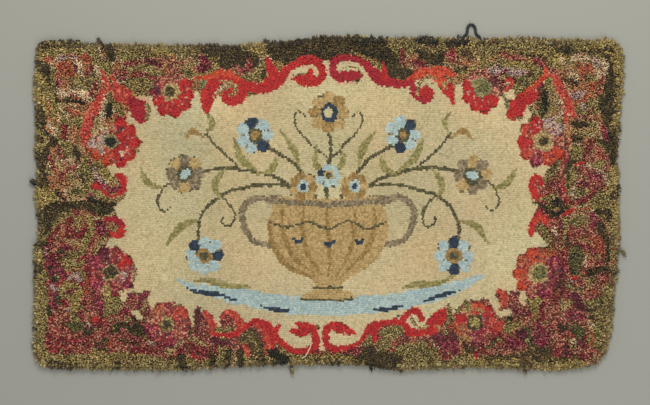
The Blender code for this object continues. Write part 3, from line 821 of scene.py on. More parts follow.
                 (-2, -352, 18), (-6, -330, 17), (0, -308, 17), (18, -300, 18), (36, -308, 20),
                 (52, -317, 16), (64, -318, 8))),
    ("scarlet", ((112, -300, 24), (112, -324, 16), (112, -344, 4))),
    ("scarlet", ((20, -313, 13), (36, -318, 13))),
    ("olive", ((136, -318, 20), (152, -316, 32), (172, -316, 24), (150, -332, 14))),
    ("olive", ((140, -344, 30), (152, -352, 22), (124, -356, 12))),
    ("rose", ((258, -330, 12), (235, -332, 12), (206, -336, 14), (176, -338, 14), (162, -348, 14),
              (158, -360, 12))),
    ("salmon", ((196, -342, 6), (220, -338, 6))),
    # Near border, left of the middle
    ("wine", ((-321, -261, 15), (-319, -283, 25), (-314, -301, 28), (-324, -318, 15))),
    ("rose", ((-306, -288, 10), (-314, -316, 15), (-299, -323, 15), (-281, -336, 15))),
    ("coral", ((-301, -271, 15), (-289, -286, 20), (-283, -301, 20), (-284, -313, 15))),
    ("scarlet", ((-279, -323, 12), (-259, -326, 12), (-239, -324, 15), (-224, -318, 18),
                 (-199, -302, 15))),
    ("coral", ((-261, -276, 12), (-254, -268, 12), (-239, -269, 15), (-224, -281, 20),
               (-214, -296, 20))),
    ("crimson", ((-254, -286, 18), (-246, -294, 15), (-256, -298, 12))),
    ("olive", ((-276, -309, 10), (-264, -316, 10), (-249, -313, 10), (-244, -306, 8))),
    ("cream", ((-280, -279, 6), (-273, -291, 10), (-264, -302, 8))),
    ("scarlet", ((-194, -297, 12), (-179, -292, 15), (-161, -298, 22), (-146, -311, 28),
                 (-141, -326, 28), (-144, -343, 28), (-151, -361, 20))),
    ("coral", ((-174, -301, 8), (-159, -317, 12), (-151, -334, 15), (-149, -353, 18), (-154, -366, 12))),
    ("brown", ((-209, -331, 15), (-189, -323, 28), (-180, -343, 38), (-171, -363, 30),
               (-169, -378, 20))),
    ("olive", ((-209, -326, 12), (-194, -318, 12), (-189, -336, 10), (-174, -353, 10),
               (-179, -373, 10))),
    ("rose", ((-239, -338, 15), (-224, -346, 20), (-216, -358, 15))),
    ("coral", ((-206, -353, 10), (-199, -368, 15))),
    ("pitch", ((-144, -363, 15), (-131, -373, 25), (-114, -383, 25), (-101, -386, 20))),
    ("tan", ((-114, -353, 8), (-101, -366, 12), (-89, -373, 10))),
    ("scarlet", ((-131, -312, 10), (-121, -303, 11))),
    ("scarlet", ((-126, -313, 10), (-129, -323, 12), (-121, -338, 15), (-106, -351, 16), (-86, -361, 15),
                 (-69, -362, 14), (-31, -361, 15))),
    ("scarlet", ((-91, -314, 10), (-76, -318, 15), (-59, -319, 18), (-46, -316, 18))),
    ("scarlet", ((-81, -297, 8), (-64, -303, 18), (-46, -306, 22), (-36, -318, 20), (-30, -336, 20),
                 (-30, -361, 20))),
    ("salmon", ((-46, -318, 5), (-44, -328, 5))),
    ("moss", ((-26, -304, 11), (-24, -307, 10))),
    ("tan", ((-359, -341, 12), (-339, -336, 12), (-314, -341, 12), (-296, -353, 10))),
    ("crimson", ((-356, -353, 10), (-336, -356, 18), (-314, -368, 28), (-304, -363, 20),
                 (-316, -383, 12))),
    ("ruby", ((-334, -373, 10), (-319, -384, 9))),
    ("wine", ((-279, -338, 15), (-259, -346, 18), (-246, -338, 10))),
    ("night", ((-284, -373, 15), (-281, -398, 15))),
    ("olive", ((-264, -368, 15), (-264, -401, 15))),
    ("night", ((-246, -366, 15), (-246, -403, 15))),
    ("tan", ((-231, -368, 12), (-231, -401, 12))),
    ("night", ((-216, -366, 15), (-216, -398, 15))),
    ("night", ((-166, -386, 8), (-159, -386, 8))),
    ("gold", ((-86, -386, 18), (-29, -381, 18), (-1, -376, 12), (28, -376, 12))),
    ("night", ((-31, -394, 10), (-9, -391, 15), (21, -389, 18))),
    ("pitch", ((-25, -363, 3), (-25, -388, 4), (-25, -406, 3))),
    # Near left corner
    ("olive", ((-704, -228, 30), (-706, -333, 28), (-704, -363, 28))),
    ("night", ((-686, -251, 15), (-684, -268, 12), (-686, -281, 10))),
    ("pitch", ((-716, -296, 6), (-709, -306, 6), (-720, -312, 6))),
    ("bone", ((-718, -319, 8), (-715, -323, 8))),
    ("crimson", ((-681, -288, 15), (-684, -328, 12), (-689, -346, 10))),
    ("rose", ((-669, -293, 22), (-674, -318, 22), (-649, -326, 25), (-624, -331, 22))),
    ("lilac", ((-639, -259, 12), (-634, -262, 12))),
    ("gold", ((-619, -228, 22), (-621, -246, 20))),
    ("magenta", ((-621, -266, 15), (-606, -268, 12))),
    ("rose", ((-596, -258, 15), (-591, -276, 18), (-571, -271, 15))),
    ("scarlet", ((-574, -284, 11), (-571, -288, 10))),
    ("magenta", ((-561, -226, 18), (-556, -268, 15))),
    ("moss", ((-639, -298, 10), (-621, -306, 22), (-606, -301, 15), (-609, -291, 10))),
    ("night", ((-596, -313, 12), (-591, -321, 15), (-581, -306, 12))),
    ("lilac", ((-590, -294, 9), (-588, -297, 9))),
    ("crimson", ((-636, -321, 10), (-656, -338, 15), (-616, -338, 15))),
    ("crimson", ((-686, -356, 15), (-671, -361, 20))),
    ("crimson", ((-649, -366, 15), (-636, -363, 15))),
    ("rose", ((-619, -358, 20), (-596, -361, 20))),
    ("rose", ((-571, -321, 20), (-571, -336, 18), (-551, -321, 15))),
    ("crimson", ((-559, -322, 8), (-554, -324, 8))),
    ("crimson", ((-539, -296, 12), (-524, -288, 12))),
    ("olive", ((-531, -228, 42), (-536, -266, 20))),
    ("magenta", ((-516, -266, 15), (-499, -271, 15), (-506, -283, 12))),
    ("rose", ((-541, -281, 12), (-526, -278, 10), (-486, -278, 10))),
    ("rose", ((-531, -338, 20), (-506, -353, 20), (-481, -338, 25), (-456, -348, 25), (-431, -333, 22))),
    ("crimson", ((-514, -313, 12), (-486, -328, 15), (-466, -333, 12))),
    ("brick", ((-539, -346, 12), (-534, -351, 12))),
    ("crimson", ((-476, -358, 20), (-446, -361, 15), (-416, -363, 15))),
    ("magenta", ((-444, -296, 18), (-439, -313, 18), (-429, -331, 15), (-401, -343, 15))),
    ("lilac", ((-439, -342, 8), (-434, -344, 8))),
    ("night", ((-476, -286, 12), (-469, -298, 25), (-466, -313, 28), (-486, -308, 18), (-501, -298, 15),
               (-514, -299, 12))),
    ("night", ((-514, -303, 8), (-541, -323, 4))),
    ("night", ((-546, -338, 4), (-571, -349, 5))),
    ("night", ((-506, -336, 5), (-491, -342, 6), (-466, -346, 5))),
    ("olive", ((-699, -376, 20), (-656, -386, 22), (-606, -388, 22))),
    ("gold", ((-576, -368, 22), (-541, -383, 30), (-516, -376, 18))),
    ("olive", ((-491, -388, 22), (-456, -386, 20), (-419, -388, 20))),
    ("night", ((-694, -393, 8), (-669, -394, 8), (-649, -397, 9), (-619, -396, 8))),
    ("night", ((-569, -359, 5), (-556, -356, 6), (-546, -363, 5))),
    ("night", ((-519, -388, 8), (-514, -393, 8))),
    ("tan", ((-396, -363, 15), (-376, -353, 12), (-361, -341, 12), (-341, -338, 10))),
    ("crimson", ((-401, -379, 5), (-381, -371, 8), (-361, -356, 15), (-339, -353, 20))),
    # Left border
    ("night", ((-674, -22, 22), (-689, -47, 28), (-694, -75, 22), (-704, -102, 15))),
    ("olive", ((-706, -52, 8), (-699, -92, 10), (-676, -62, 8))),
    ("night", ((-716, -142, 22), (-711, -162, 22), (-719, -182, 15))),
    ("olive", ((-716, -117, 15), (-716, -132, 10))),
    ("olive", ((-709, -192, 20), (-709, -217, 28), (-704, -242, 28), (-704, -262, 22))),
    ("night", ((-681, -157, 12), (-676, -165, 10))),
    ("crimson", ((-621, -20, 12), (-634, -40, 12), (-671, -77, 18), (-684, -95, 18), (-691, -115, 15))),
    ("magenta", ((-691, -115, 15), (-689, -135, 15), (-674, -147, 12), (-659, -160, 12),
                 (-649, -175, 15))),
    ("lilac", ((-694, -115, 8), (-691, -125, 8))),
    ("salmon", ((-624, -32, 15), (-601, -30, 20), (-586, -32, 15))),
    ("gold", ((-584, -40, 18), (-606, -110, 18))),
    ("salmon", ((-649, -75, 12), (-656, -90, 10))),
    ("salmon", ((-621, -90, 12), (-614, -100, 12), (-624, -107, 10))),
    ("crimson", ((-631, -45, 12), (-634, -62, 15), (-621, -77, 15), (-606, -77, 15), (-596, -60, 10),
                 (-599, -47, 8))),
    ("rose", ((-659, -90, 20), (-631, -97, 12))),
    ("magenta", ((-646, -108, 12), (-641, -111, 12))),
    ("night", ((-659, -117, 12), (-649, -120, 10))),
    ("tan", ((-636, -125, 15), (-631, -152, 18), (-614, -122, 15))),
    ("moss", ((-659, -135, 10), (-646, -142, 12), (-631, -135, 8))),
    ("salmon", ((-556, -87, 15), (-581, -122, 12))),
    ("brown", ((-545, -83, 8), (-571, -117, 8))),
    ("rose", ((-576, -92, 8), (-589, -130, 10))),
    ("magenta", ((-566, -45, 15), (-559, -57, 28), (-556, -70, 22))),
    ("ruby", ((-546, -40, 15), (-531, -37, 15), (-514, -45, 18), (-506, -57, 15))),
    ("scarlet", ((-506, -60, 15), (-509, -72, 20), (-521, -80, 18), (-531, -75, 12))),
    ("olive", ((-533, -62, 10), (-525, -63, 8))),
    ("tan", ((-566, -35, 6), (-534, -28, 5))),
    ("salmon", ((-639, -162, 12), (-621, -165, 15), (-604, -157, 10))),
    ("magenta", ((-681, -172, 15), (-661, -167, 15), (-649, -177, 12), (-654, -192, 10),
                 (-679, -190, 12))),
    ("night", ((-669, -185, 14), (-664, -187, 14))),
    ("lilac", ((-681, -207, 12), (-666, -212, 12))),
    ("brick", ((-654, -190, 10), (-649, -195, 10))),
    ("gold", ((-641, -202, 18), (-629, -202, 15))),
    ("lilac", ((-631, -180, 12), (-616, -177, 15), (-614, -190, 10))),
    ("brick", ((-591, -182, 15), (-591, -202, 15), (-596, -217, 15))),
    ("gold", ((-619, -207, 20), (-611, -222, 20))),
    ("crimson", ((-644, -217, 8), (-631, -217, 10), (-621, -212, 8))),
    ("wine", ((-671, -222, 12), (-676, -237, 15), (-674, -255, 15))),
    ("magenta", ((-679, -237, 12), (-674, -255, 12))),
    ("moss", ((-659, -232, 12), (-661, -250, 10))),
    ("crimson", ((-649, -237, 12), (-636, -247, 15))),
    ("gold", ((-619, -242, 22), (-621, -260, 20))),
    ("rose", ((-581, -217, 15), (-581, -260, 15))),
    ("magenta", ((-576, -187, 22), (-569, -207, 22), (-561, -225, 18), (-566, -242, 18),
                 (-559, -260, 18))),
    ("crimson", ((-599, -242, 12), (-594, -252, 10))),
    ("magenta", ((-591, -142, 15), (-576, -150, 20), (-571, -167, 22))),
    ("olive", ((-534, -210, 28), (-526, -250, 42))),
    ("magenta", ((-494, -225, 12), (-481, -235, 22), (-466, -250, 28), (-454, -230, 18),
                 (-441, -221, 10))),
    ("rose", ((-489, -242, 15), (-479, -257, 18), (-471, -232, 8))),
    ("tan", ((-449, -242, 12), (-449, -255, 12))),
    ("coral", ((-596, 201, 22), (-595, 176, 25), (-586, 151, 28), (-579, 135, 20))),
    ("crimson", ((-580, 124, 12), (-581, 94, 9))),
    ("lilac", ((-575, 81, 12), (-569, 66, 14), (-565, 52, 9))),
    ("crimson", ((-649, 179, 14), (-645, 159, 14))),
    ("crimson", ((-684, 111, 9), (-671, 81, 9))),
    ("rose", ((-661, 136, 9), (-656, 119, 12), (-646, 106, 9))),
    ("tan", ((-664, 104, 15), (-656, 91, 15), (-626, 59, 20), (-619, 44, 14))),
    ("night", ((-621, 126, 15), (-613, 116, 16), (-615, 104, 12))),
    ("night", ((-605, 66, 12), (-601, 56, 12))),
    ("olive", ((-596, 109, 15), (-599, 86, 15), (-586, 66, 12))),
    ("crimson", ((-651, 77, 10), (-621, 90, 12))),
    ("rose", ((-656, 69, 9), (-651, 56, 10))),
    ("night", ((-644, 50, 3), (-631, 62, 4), (-618, 69, 3))),
    ("tan", ((-636, 36, 10), (-631, 16, 10), (-614, 10, 9), (-599, 26, 9))),
    ("moss", ((-624, 29, 12), (-615, 27, 12))),
    ("night", ((-719, 45, 11), (-699, 46, 15), (-691, 59, 10))),
    ("gold", ((-709, 84, 12), (-706, 66, 12))),
    ("night", ((-669, 29, 10), (-649, 6, 10))),
    ("pitch", ((-706, -25, 12), (-649, -6, 14), (-619, -9, 15))),
    ("gold", ((-614, -34, 15), (-611, -49, 15))),
    ("crimson", ((-626, -20, 9), (-614, -24, 8))),
    ("magenta", ((-591, 11, 10), (-581, 19, 10))),
    ("scarlet", ((-519, 69, 12), (-506, 64, 20), (-501, 46, 18), (-505, 29, 18), (-519, 16, 15),
                 (-531, 12, 12), (-546, 19, 15), (-561, 31, 15), (-576, 39, 15))),
    ("magenta", ((-569, 51, 8), (-536, 31, 12), (-521, 32, 11), (-511, 41, 8))),
    ("gold", ((-579, 116, 15), (-561, 99, 20), (-546, 76, 20), (-535, 56, 15), (-529, 44, 10))),
    ("lilac", ((-571, 79, 8), (-566, 66, 10), (-561, 54, 9))),
    ("olive", ((-566, 24, 12), (-556, 15, 15), (-536, 5, 12), (-516, 9, 12), (-501, 19, 10))),
    ("night", ((-584, 6, 18), (-541, -11, 20), (-524, -1, 10))),
    ("pitch", ((-586, 7, 5), (-566, 1, 6), (-551, -9, 6))),
    ("moss", ((-576, -6, 6), (-556, -11, 6), (-566, -19, 5))),
    ("night", ((-711, -26, 12), (-681, -14, 15), (-636, -4, 15), (-619, -6, 10), (-596, -1, 12))),
    # Far left corner
    ("olive", ((-624, 302, 22), (-596, 294, 25), (-576, 312, 18))),
    ("night", ((-709, 347, 15), (-699, 332, 15), (-696, 312, 10))),
    ("night", ((-711, 237, 15), (-704, 212, 18), (-701, 187, 12))),
    ("night", ((-666, 292, 6), (-671, 262, 9), (-661, 249, 9))),
    ("bone", ((-664, 277, 15), (-649, 264, 19), (-631, 272, 12))),
    ("bone", ((-624, 272, 18), (-601, 267, 22), (-586, 257, 15))),
    ("lilac", ((-656, 352, 12), (-645, 357, 12))),
    ("lilac", ((-629, 358, 12), (-621, 352, 10))),
    ("brick", ((-601, 358, 15), (-591, 352, 18))),
    ("brick", ((-689, 354, 12), (-680, 352, 12))),
    ("brick", ((-660, 314, 15), (-656, 334, 16), (-644, 339, 15), (-631, 334, 12))),
    ("brick", ((-644, 324, 15), (-631, 318, 19))),
    ("rose", ((-669, 314, 12), (-653, 292, 12))),
    ("crimson", ((-668, 302, 9), (-661, 287, 10))),
    ("bone", ((-614, 339, 15), (-606, 314, 12))),
    ("crimson", ((-581, 334, 9), (-595, 312, 9))),
    ("bone", ((-571, 334, 12), (-564, 319, 14), (-561, 307, 9))),
    ("wine", ((-621, 332, 8), (-618, 322, 8))),
    ("crimson", ((-571, 292, 12), (-584, 262, 10))),
    ("crimson", ((-631, 262, 11), (-621, 260, 11))),
    ("pitch", ((-639, 252, 8), (-619, 248, 11), (-603, 242, 11))),
    ("night", ((-656, 249, 8), (-644, 252, 8))),
    ("brick", ((-639, 234, 12), (-621, 217, 12))),
    ("brick", ((-611, 219, 10), (-634, 204, 8))),
    ("bone", ((-655, 237, 9), (-650, 225, 9))),
    ("olive", ((-631, 197, 20), (-611, 199, 25), (-606, 182, 18))),
    ("bone", ((-684, 192, 15), (-676, 179, 15), (-674, 169, 12))),
    ("crimson", ((-649, 189, 12), (-644, 177, 15), (-649, 167, 12))),
    ("coral", ((-556, 324, 10), (-548, 302, 14), (-538, 277, 12))),
    ("coral", ((-533, 312, 8), (-524, 294, 12), (-514, 277, 20))),
    ("olive", ((-531, 272, 10), (-536, 257, 15), (-519, 237, 22), (-506, 222, 15))),
    ("pitch", ((-535, 242, 12), (-539, 222, 16), (-539, 207, 10))),
    ("coral", ((-555, 273, 15), (-568, 242, 22), (-580, 217, 24), (-591, 194, 24), (-595, 169, 25))),
    ("bone", ((-546, 272, 8), (-551, 252, 8), (-553, 232, 12), (-556, 212, 14), (-555, 192, 14),
              (-545, 177, 12))),
    ("crimson", ((-575, 212, 6), (-584, 172, 9))),
    # Far left leaf, and the flecked ground above it
    ("coral", ((-524, 286, 10), (-512, 270, 36), (-494, 260, 34), (-482, 250, 24))),
    ("ruby", ((-486, 250, 16), (-472, 238, 34), (-464, 222, 42), (-458, 208, 26))),
    ("ruby", ((-462, 250, 20), (-446, 252, 12))),
    ("gold", ((-474, 286, 16), (-470, 270, 22), (-464, 258, 10))),
    ("rose", ((-520, 320, 20), (-505, 314, 20), (-490, 322, 12))),
    ("rose", ((-495, 345, 14), (-480, 342, 20), (-460, 348, 14))),
    ("wine", ((-445, 350, 12), (-428, 344, 20), (-414, 338, 12))),
    ("rose", ((-412, 348, 12), (-396, 350, 12), (-386, 340, 14), (-388, 326, 14))),
    ("olive", ((-480, 330, 20), (-455, 330, 24), (-430, 326, 20), (-410, 316, 16))),
    ("rose", ((-480, 314, 12), (-460, 316, 14), (-422, 302, 10))),
    ("wine", ((-505, 305, 8), (-497, 302, 8))),
    ("olive", ((-490, 296, 16), (-470, 298, 20), (-452, 296, 22), (-440, 288, 18))),
    ("rose", ((-372, 346, 10), (-360, 338, 14), (-345, 340, 12))),
    ("tan", ((-352, 330, 14), (-336, 340, 20), (-320, 345, 12))),
    ("rose", ((-386, 330, 16), (-372, 318, 20), (-360, 306, 12))),
    ("olive", ((-352, 322, 16), (-344, 314, 14))),
)

# Round flowers: x, y, size, lobes, the mixes of the petals anticlockwise from +X, then the
# eye's x and y, its ring's size and mix, its own size and mix, and how flecked its petals are.
FLOWERS = (
    (377, 272, 51, 9, ("rose", "wine", "rose", "rose", "scarlet", "scarlet", "scarlet", "scarlet",
                       "scarlet"),
     377, 284, 25, "grey", 15, "moss", 0.15),
    (524, 150, 62, 10, ("rose", "lilac", "lilac", "scarlet", "coral", "scarlet", "coral", "magenta",
                        "orange", "orange"),
     527, 152, 26, "tan", 12, "night", 0.35),
    (514, -172, 62, 10, ("wine", "magenta", "brick", "orange", "brick", "orange", "orange", "rose",
                         "magenta", "wine"),
     516, -172, 25, "tan", 16, "moss", 0.35),
    (361, -296, 53, 9, ("coral", "scarlet", "orange", "salmon", "scarlet", "brick", "salmon", "magenta",
                        "crimson"),
     361, -294, 19, "night", 13, "olive", 0.35),
    (-384, 264, 54, 9, ("scarlet", "scarlet", "rose", "rose", "wine", "scarlet", "scarlet", "scarlet",
                        "scarlet"),
     -387, 272, 23, "tan", 13, "night", 0.15),
    (-526, 148, 62, 10, ("scarlet", "scarlet", "scarlet", "salmon", "tan", "lilac", "orange", "orange",
                         "scarlet", "scarlet"),
     -533, 151, 19, "grey", 14, "pitch", 0.35),
    (-533, -170, 62, 10, ("magenta", "scarlet", "crimson", "wine", "magenta", "crimson", "magenta",
                          "rose", "crimson", "magenta"),
     -533, -169, 21, "tan", 16, "night", 0.15),
    (-394, -296, 56, 9, ("crimson", "coral", "crimson", "brick", "rose", "magenta", "crimson", "magenta",
                         "rose"),
     -394, -298, 18, "olive", 11, "night", 0.35),
)

# What is hooked over the flowers' edges and beside their eyes.
DETAIL_STROKES = (
    ("lilac", ((-556, 164, 14), (-559, 146, 19), (-553, 127, 14))),
    ("bone", ((-556, 184, 12), (-546, 176, 12))),
    ("wine", ((-510, 184, 12), (-514, 174, 12))),
    ("bone", ((-509, 125, 9), (-506, 117, 6))),
    ("cream", ((-464, 258, 10), (-451, 256, 12), (-440, 250, 8))),
    ("cream", ((-435, 247, 8), (-421, 192, 15))),
    ("olive", ((-444, 239, 10), (-443, 222, 12), (-444, 204, 12))),
    ("crimson", ((-444, 277, 10), (-436, 269, 15), (-428, 262, 12))),
    ("olive", ((-451, 302, 15), (-436, 292, 15), (-459, 272, 15))),
    ("crimson", ((-476, 309, 8), (-454, 315, 8), (-431, 307, 8), (-416, 294, 6))),
    ("olive", ((335, -238, 10), (338, -248, 18), (343, -261, 12))),
    ("salmon", ((348, -266, 8), (360, -261, 10), (375, -266, 8))),
    ("tan", ((-481, -167, 10), (-474, -177, 12), (-481, -190, 10))),
    ("lilac", ((-506, -167, 8), (-499, -180, 10), (-511, -190, 8))),
    ("cream", ((-511, -217, 8), (-506, -227, 12), (-504, -240, 10))),
    ("cream", ((-479, -269, 10), (-466, -276, 15), (-459, -282, 10))),
    ("bone", ((-379, -247, 8), (-376, -251, 8))),
    ("gold", ((-588, -34, 10), (-578, -62, 17), (-595, -98, 17), (-606, -114, 16))),
    ("olive", ((-612, -122, 18), (-640, -136, 22), (-634, -152, 22))),
    ("gold", ((-636, -200, 16), (-622, -204, 14))),
    ("gold", ((-545, -206, 14), (-540, -225, 16), (-538, -245, 14))),
    ("tan", ((-542, -88, 10), (-556, -100, 12), (-568, -114, 10))),
    ("tan", ((-648, -60, 8), (-664, -78, 8), (-668, -96, 8))),
    ("tan", ((-640, -92, 9), (-622, -98, 9), (-608, -92, 8))),
    ("gold", ((-600, -140, 9), (-606, -152, 9))),
    ("wine", ((258, -326, 10), (280, -332, 22), (300, -334, 24))),
    ("magenta", ((270, -350, 16), (292, -352, 28))),
    ("crimson", ((278, -370, 14), (292, -376, 20))),
    ("bone", ((262, -345, 5), (272, -356, 5))),
)


def smooth_line(rows, gap=4.0):
    """Points about a gap apart on a smooth line through a table's rows, all columns alike."""
    rows = np.array(rows, float)
    if len(rows) == 1:
        return rows
    padded = np.vstack([2 * rows[0] - rows[1], rows, 2 * rows[-1] - rows[-2]])
    line = [rows[:1]]
    for before, start, end, after in zip(padded, padded[1:], padded[2:], padded[3:]):
        steps = max(1, round(math.dist(start[:2], end[:2]) / gap))
        t = np.arange(1, steps + 1)[:, None] / steps
        curve = 2 * start + (end - before) * t + (2 * before - 5 * start + 4 * end - after) * t**2
        line.append((curve + (3 * start - before - 3 * end + after) * t**3) / 2)
    return np.vstack(line)


def depth_in_stroke(x, y, rows):
    """How deep each place lies inside a stroke of changing width. Outside it is negative."""
    line = smooth_line(rows)
    reach = line[:, 2].max() / 2 + 6
    low, high = line[:, :2].min(0) - reach, line[:, :2].max(0) + reach
    near = np.flatnonzero((x > low[0]) & (x < high[0]) & (y > low[1]) & (y < high[1]))
    depth = np.full(len(x), -1e9)
    if len(near) == 0:
        return depth
    if len(line) == 1:
        line = np.vstack([line, line + (0.1, 0, 0)])
    places = np.stack([x[near], y[near]], 1)[:, None]
    start, run = line[:-1, :2], np.diff(line[:, :2], axis=0)
    share = ((places - start) * run).sum(2) / np.maximum((run**2).sum(1), 1e-9)
    share = np.clip(share, 0, 1)
    distance = np.linalg.norm(places - (start + share[..., None] * run), axis=2)
    width = line[:-1, 2] + share * np.diff(line[:, 2])
    depth[near] = (width / 2 - distance).max(1)
    return depth


def in_outline(x, y, outline):
    """Which places lie inside a closed outline of straight runs."""
    inside = np.zeros(len(x), bool)
    for (ax, ay), (bx, by) in zip(outline, outline[1:] + outline[:1]):
        crosses = (ay > y) != (by > y)
        if ay != by:
            inside ^= crosses & (x < ax + (y - ay) * (bx - ax) / (by - ay))
    return inside


def soft_noise(x, y, size, seed):
    """Smooth noise from 0 to 1 whose humps are about a size across."""
    table = np.random.default_rng(seed).random((256, 256))
    u, v = x / size + 1000, y / size + 1000
    i, j = np.floor(u).astype(int), np.floor(v).astype(int)
    s, t = u - i, v - j
    s, t = s * s * (3 - 2 * s), t * t * (3 - 2 * t)
    here, east = table[i % 256, j % 256], table[(i + 1) % 256, j % 256]
    north, far = table[i % 256, (j + 1) % 256], table[(i + 1) % 256, (j + 1) % 256]
    return (here * (1 - s) + east * s) * (1 - t) + (north * (1 - s) + far * s) * t


MIXES = list(YARNS)
SOLID_REDS = ("scarlet", "ruby", "orange", "coral")


def border_ground(x, y, mix):
    """The border's flecked ground: pinks and olives far, crimson near, an olive rim."""
    patch = soft_noise(x, y, 26, 3)
    to_rim = np.minimum(722 - np.abs(x), 408 - np.abs(y)) + 22 * (soft_noise(x, y, 30, 7) - 0.5)
    near_side = np.clip((40 - y) / 160, 0, 1)
    mix[:] = MIXES.index("salmon")
    mix[patch < 0.42] = MIXES.index("olive")
    mix[(patch > 0.42) & (patch < 0.5)] = MIXES.index("bone")
    lower = soft_noise(x, y, 60, 4) < near_side
    mix[lower] = MIXES.index("rose")
    mix[lower & (patch < 0.45)] = MIXES.index("crimson")
    mix[lower & (patch < 0.30)] = MIXES.index("olive")
    mix[lower & (patch > 0.86)] = MIXES.index("brown")
    rim = to_rim < 32
    mix[rim] = MIXES.index("olive")
    mix[rim & (patch > 0.55)] = MIXES.index("gold")
    mix[rim & (patch < 0.2)] = MIXES.index("brown")


def flower(x, y, mix, row, chance, crease_mix, line_mix):
    """Paints a round flower: lobed petals with dark creases, then the eye in its ring."""
    across, up, size, lobes, petals, eye_x, eye_y, ring, ring_mix, eye, eye_mix, flecked = row
    dx, dy = x - across, y - up
    radius = np.hypot(dx, dy)
    turn = np.arctan2(dy, dx) / (2 * math.pi) * lobes + 0.5
    lobe = np.abs(np.sin(np.pi * turn))
    edge = size * (0.80 + 0.24 * lobe**0.6) * (0.94 + 0.12 * soft_noise(x, y, 14, 5))
    inside = radius < edge
    which = np.floor(turn).astype(int) % lobes
    for index, petal in enumerate(petals):
        mix[inside & (which == index % lobes)] = MIXES.index(petal)
    flecks = inside & (radius < size * (0.60 + 0.30 * soft_noise(x, y, 16, 8)))
    for low, name in ((0.0, "crimson"), (0.42, "rose"), (0.66, "coral"), (0.86, "lilac"), (0.94, "wine")):
        mix[flecks & (chance >= low * flecked) & (chance < flecked)] = MIXES.index(name)
    lined = inside & (edge - radius < 2.6) & (soft_noise(x, y, 22, 9) > 0.70)
    mix[lined] = MIXES.index(line_mix)
    crease = inside & (lobe < 0.16) & (radius > size * 0.5) & (chance > 0.4)
    mix[crease] = MIXES.index(crease_mix)
    wobble = 1 + 0.35 * (soft_noise(x, y, 9, 6) - 0.5)
    from_eye = np.hypot(x - eye_x, y - eye_y)
    mix[from_eye < ring * wobble] = MIXES.index(ring_mix)
    mix[from_eye < eye * wobble] = MIXES.index(eye_mix)


def border_mix(x, y, chance):
    """Each place's yarn mix, and how deep it is in solid red."""
    x = x + 5 * (soft_noise(x, y, 38, 1) - 0.5)
    y = y + 5 * (soft_noise(x, y, 38, 2) - 0.5)
    mix = np.zeros(len(x), int)
    border_ground(x, y, mix)
    ragged = (chance - 0.5) * 5
    for name, rows in GROUND_STROKES:
        mix[depth_in_stroke(x, y, rows) > ragged * 1.6] = MIXES.index(name)
    mix[in_outline(x, y, FIELD_EDGE)] = MIXES.index("cream")
    near_red = np.full(len(x), -1e9)

    def stroke(name, rows):
        depth = depth_in_stroke(x, y, rows)
        solid = name in SOLID_REDS
        if solid:
            np.maximum(near_red, depth, out=near_red)
        mix[depth > ragged * (0.7 if solid else 1.0)] = MIXES.index(name)

    for name, rows in MOTIF_STROKES:
        stroke(name, rows)
    for row in FLOWERS:
        flower(x, y, mix, row, chance, "crimson", "brown")
        near_red = np.maximum(near_red, row[2] * 0.9 - np.hypot(x - row[0], y - row[1]))
    for name, rows in DETAIL_STROKES:
        stroke(name, rows)
    return mix, near_red


# Centre of the field. An urn of flowers on a strip of pale ground, hooked in tans, olives,
# ice blue and navy wool.

YARNS.update({
    "sand": ((176, 146, 94), (188, 160, 108), (162, 134, 84), (180, 152, 98), (154, 124, 74)),
    "honey": ((152, 120, 66), (140, 108, 58), (166, 134, 78), (130, 100, 54), (158, 128, 74)),
    "ice": ((160, 180, 178), (150, 172, 174), (172, 188, 178), (154, 168, 158), (180, 190, 176)),
    "navy": ((36, 50, 66), (30, 42, 56), (46, 62, 78), (40, 48, 56), (54, 66, 74)),
    "stem": ((86, 80, 50), (72, 68, 44), (98, 90, 56), (64, 60, 42), (106, 96, 60)),
    "leaf": ((146, 134, 80), (130, 120, 66), (160, 148, 92), (118, 108, 58), (150, 142, 96)),
    "bark": ((130, 114, 84), (116, 100, 72), (144, 128, 98), (102, 88, 62), (156, 138, 110)),
})
MIXES = list(YARNS)

# Half of the urn's outline, from its lip down to its foot. The other half mirrors it.
URN_SIDE = (
    (128, 6), (142, -21), (150, -57), (145, -95), (125, -133), (93, -164), (53, -184), (32, -196),
    (30, -208), (58, -222), (72, -238),
)

# The strip of ground with its leaves and pools, and the middle stem.
CENTRE_STROKES = (
    ("ice", ((-372, -190, 6), (-300, -214, 26), (-200, -232, 40), (-90, -250, 44), (40, -254, 44),
             (150, -244, 44), (250, -226, 38), (330, -200, 26), (380, -176, 8))),
    ("leaf", ((-330, -190, 4), (-290, -192, 18), (-240, -204, 16), (-190, -206, 4))),
    ("leaf", ((180, -206, 4), (225, -200, 18), (270, -196, 14), (312, -178, 4))),
    ("navy", ((-350, -206, 3), (-310, -222, 11), (-262, -226, 9), (-225, -238, 3))),
    ("navy", ((-170, -252, 3), (-130, -262, 10), (-92, -262, 3))),
    ("navy", ((112, -262, 3), (150, -260, 11), (190, -250, 3))),
    ("navy", ((236, -240, 3), (280, -226, 10), (326, -214, 3))),
    ("stem", ((-4, 20, 12), (-8, 70, 10), (4, 120, 9), (0, 190, 8))),
)

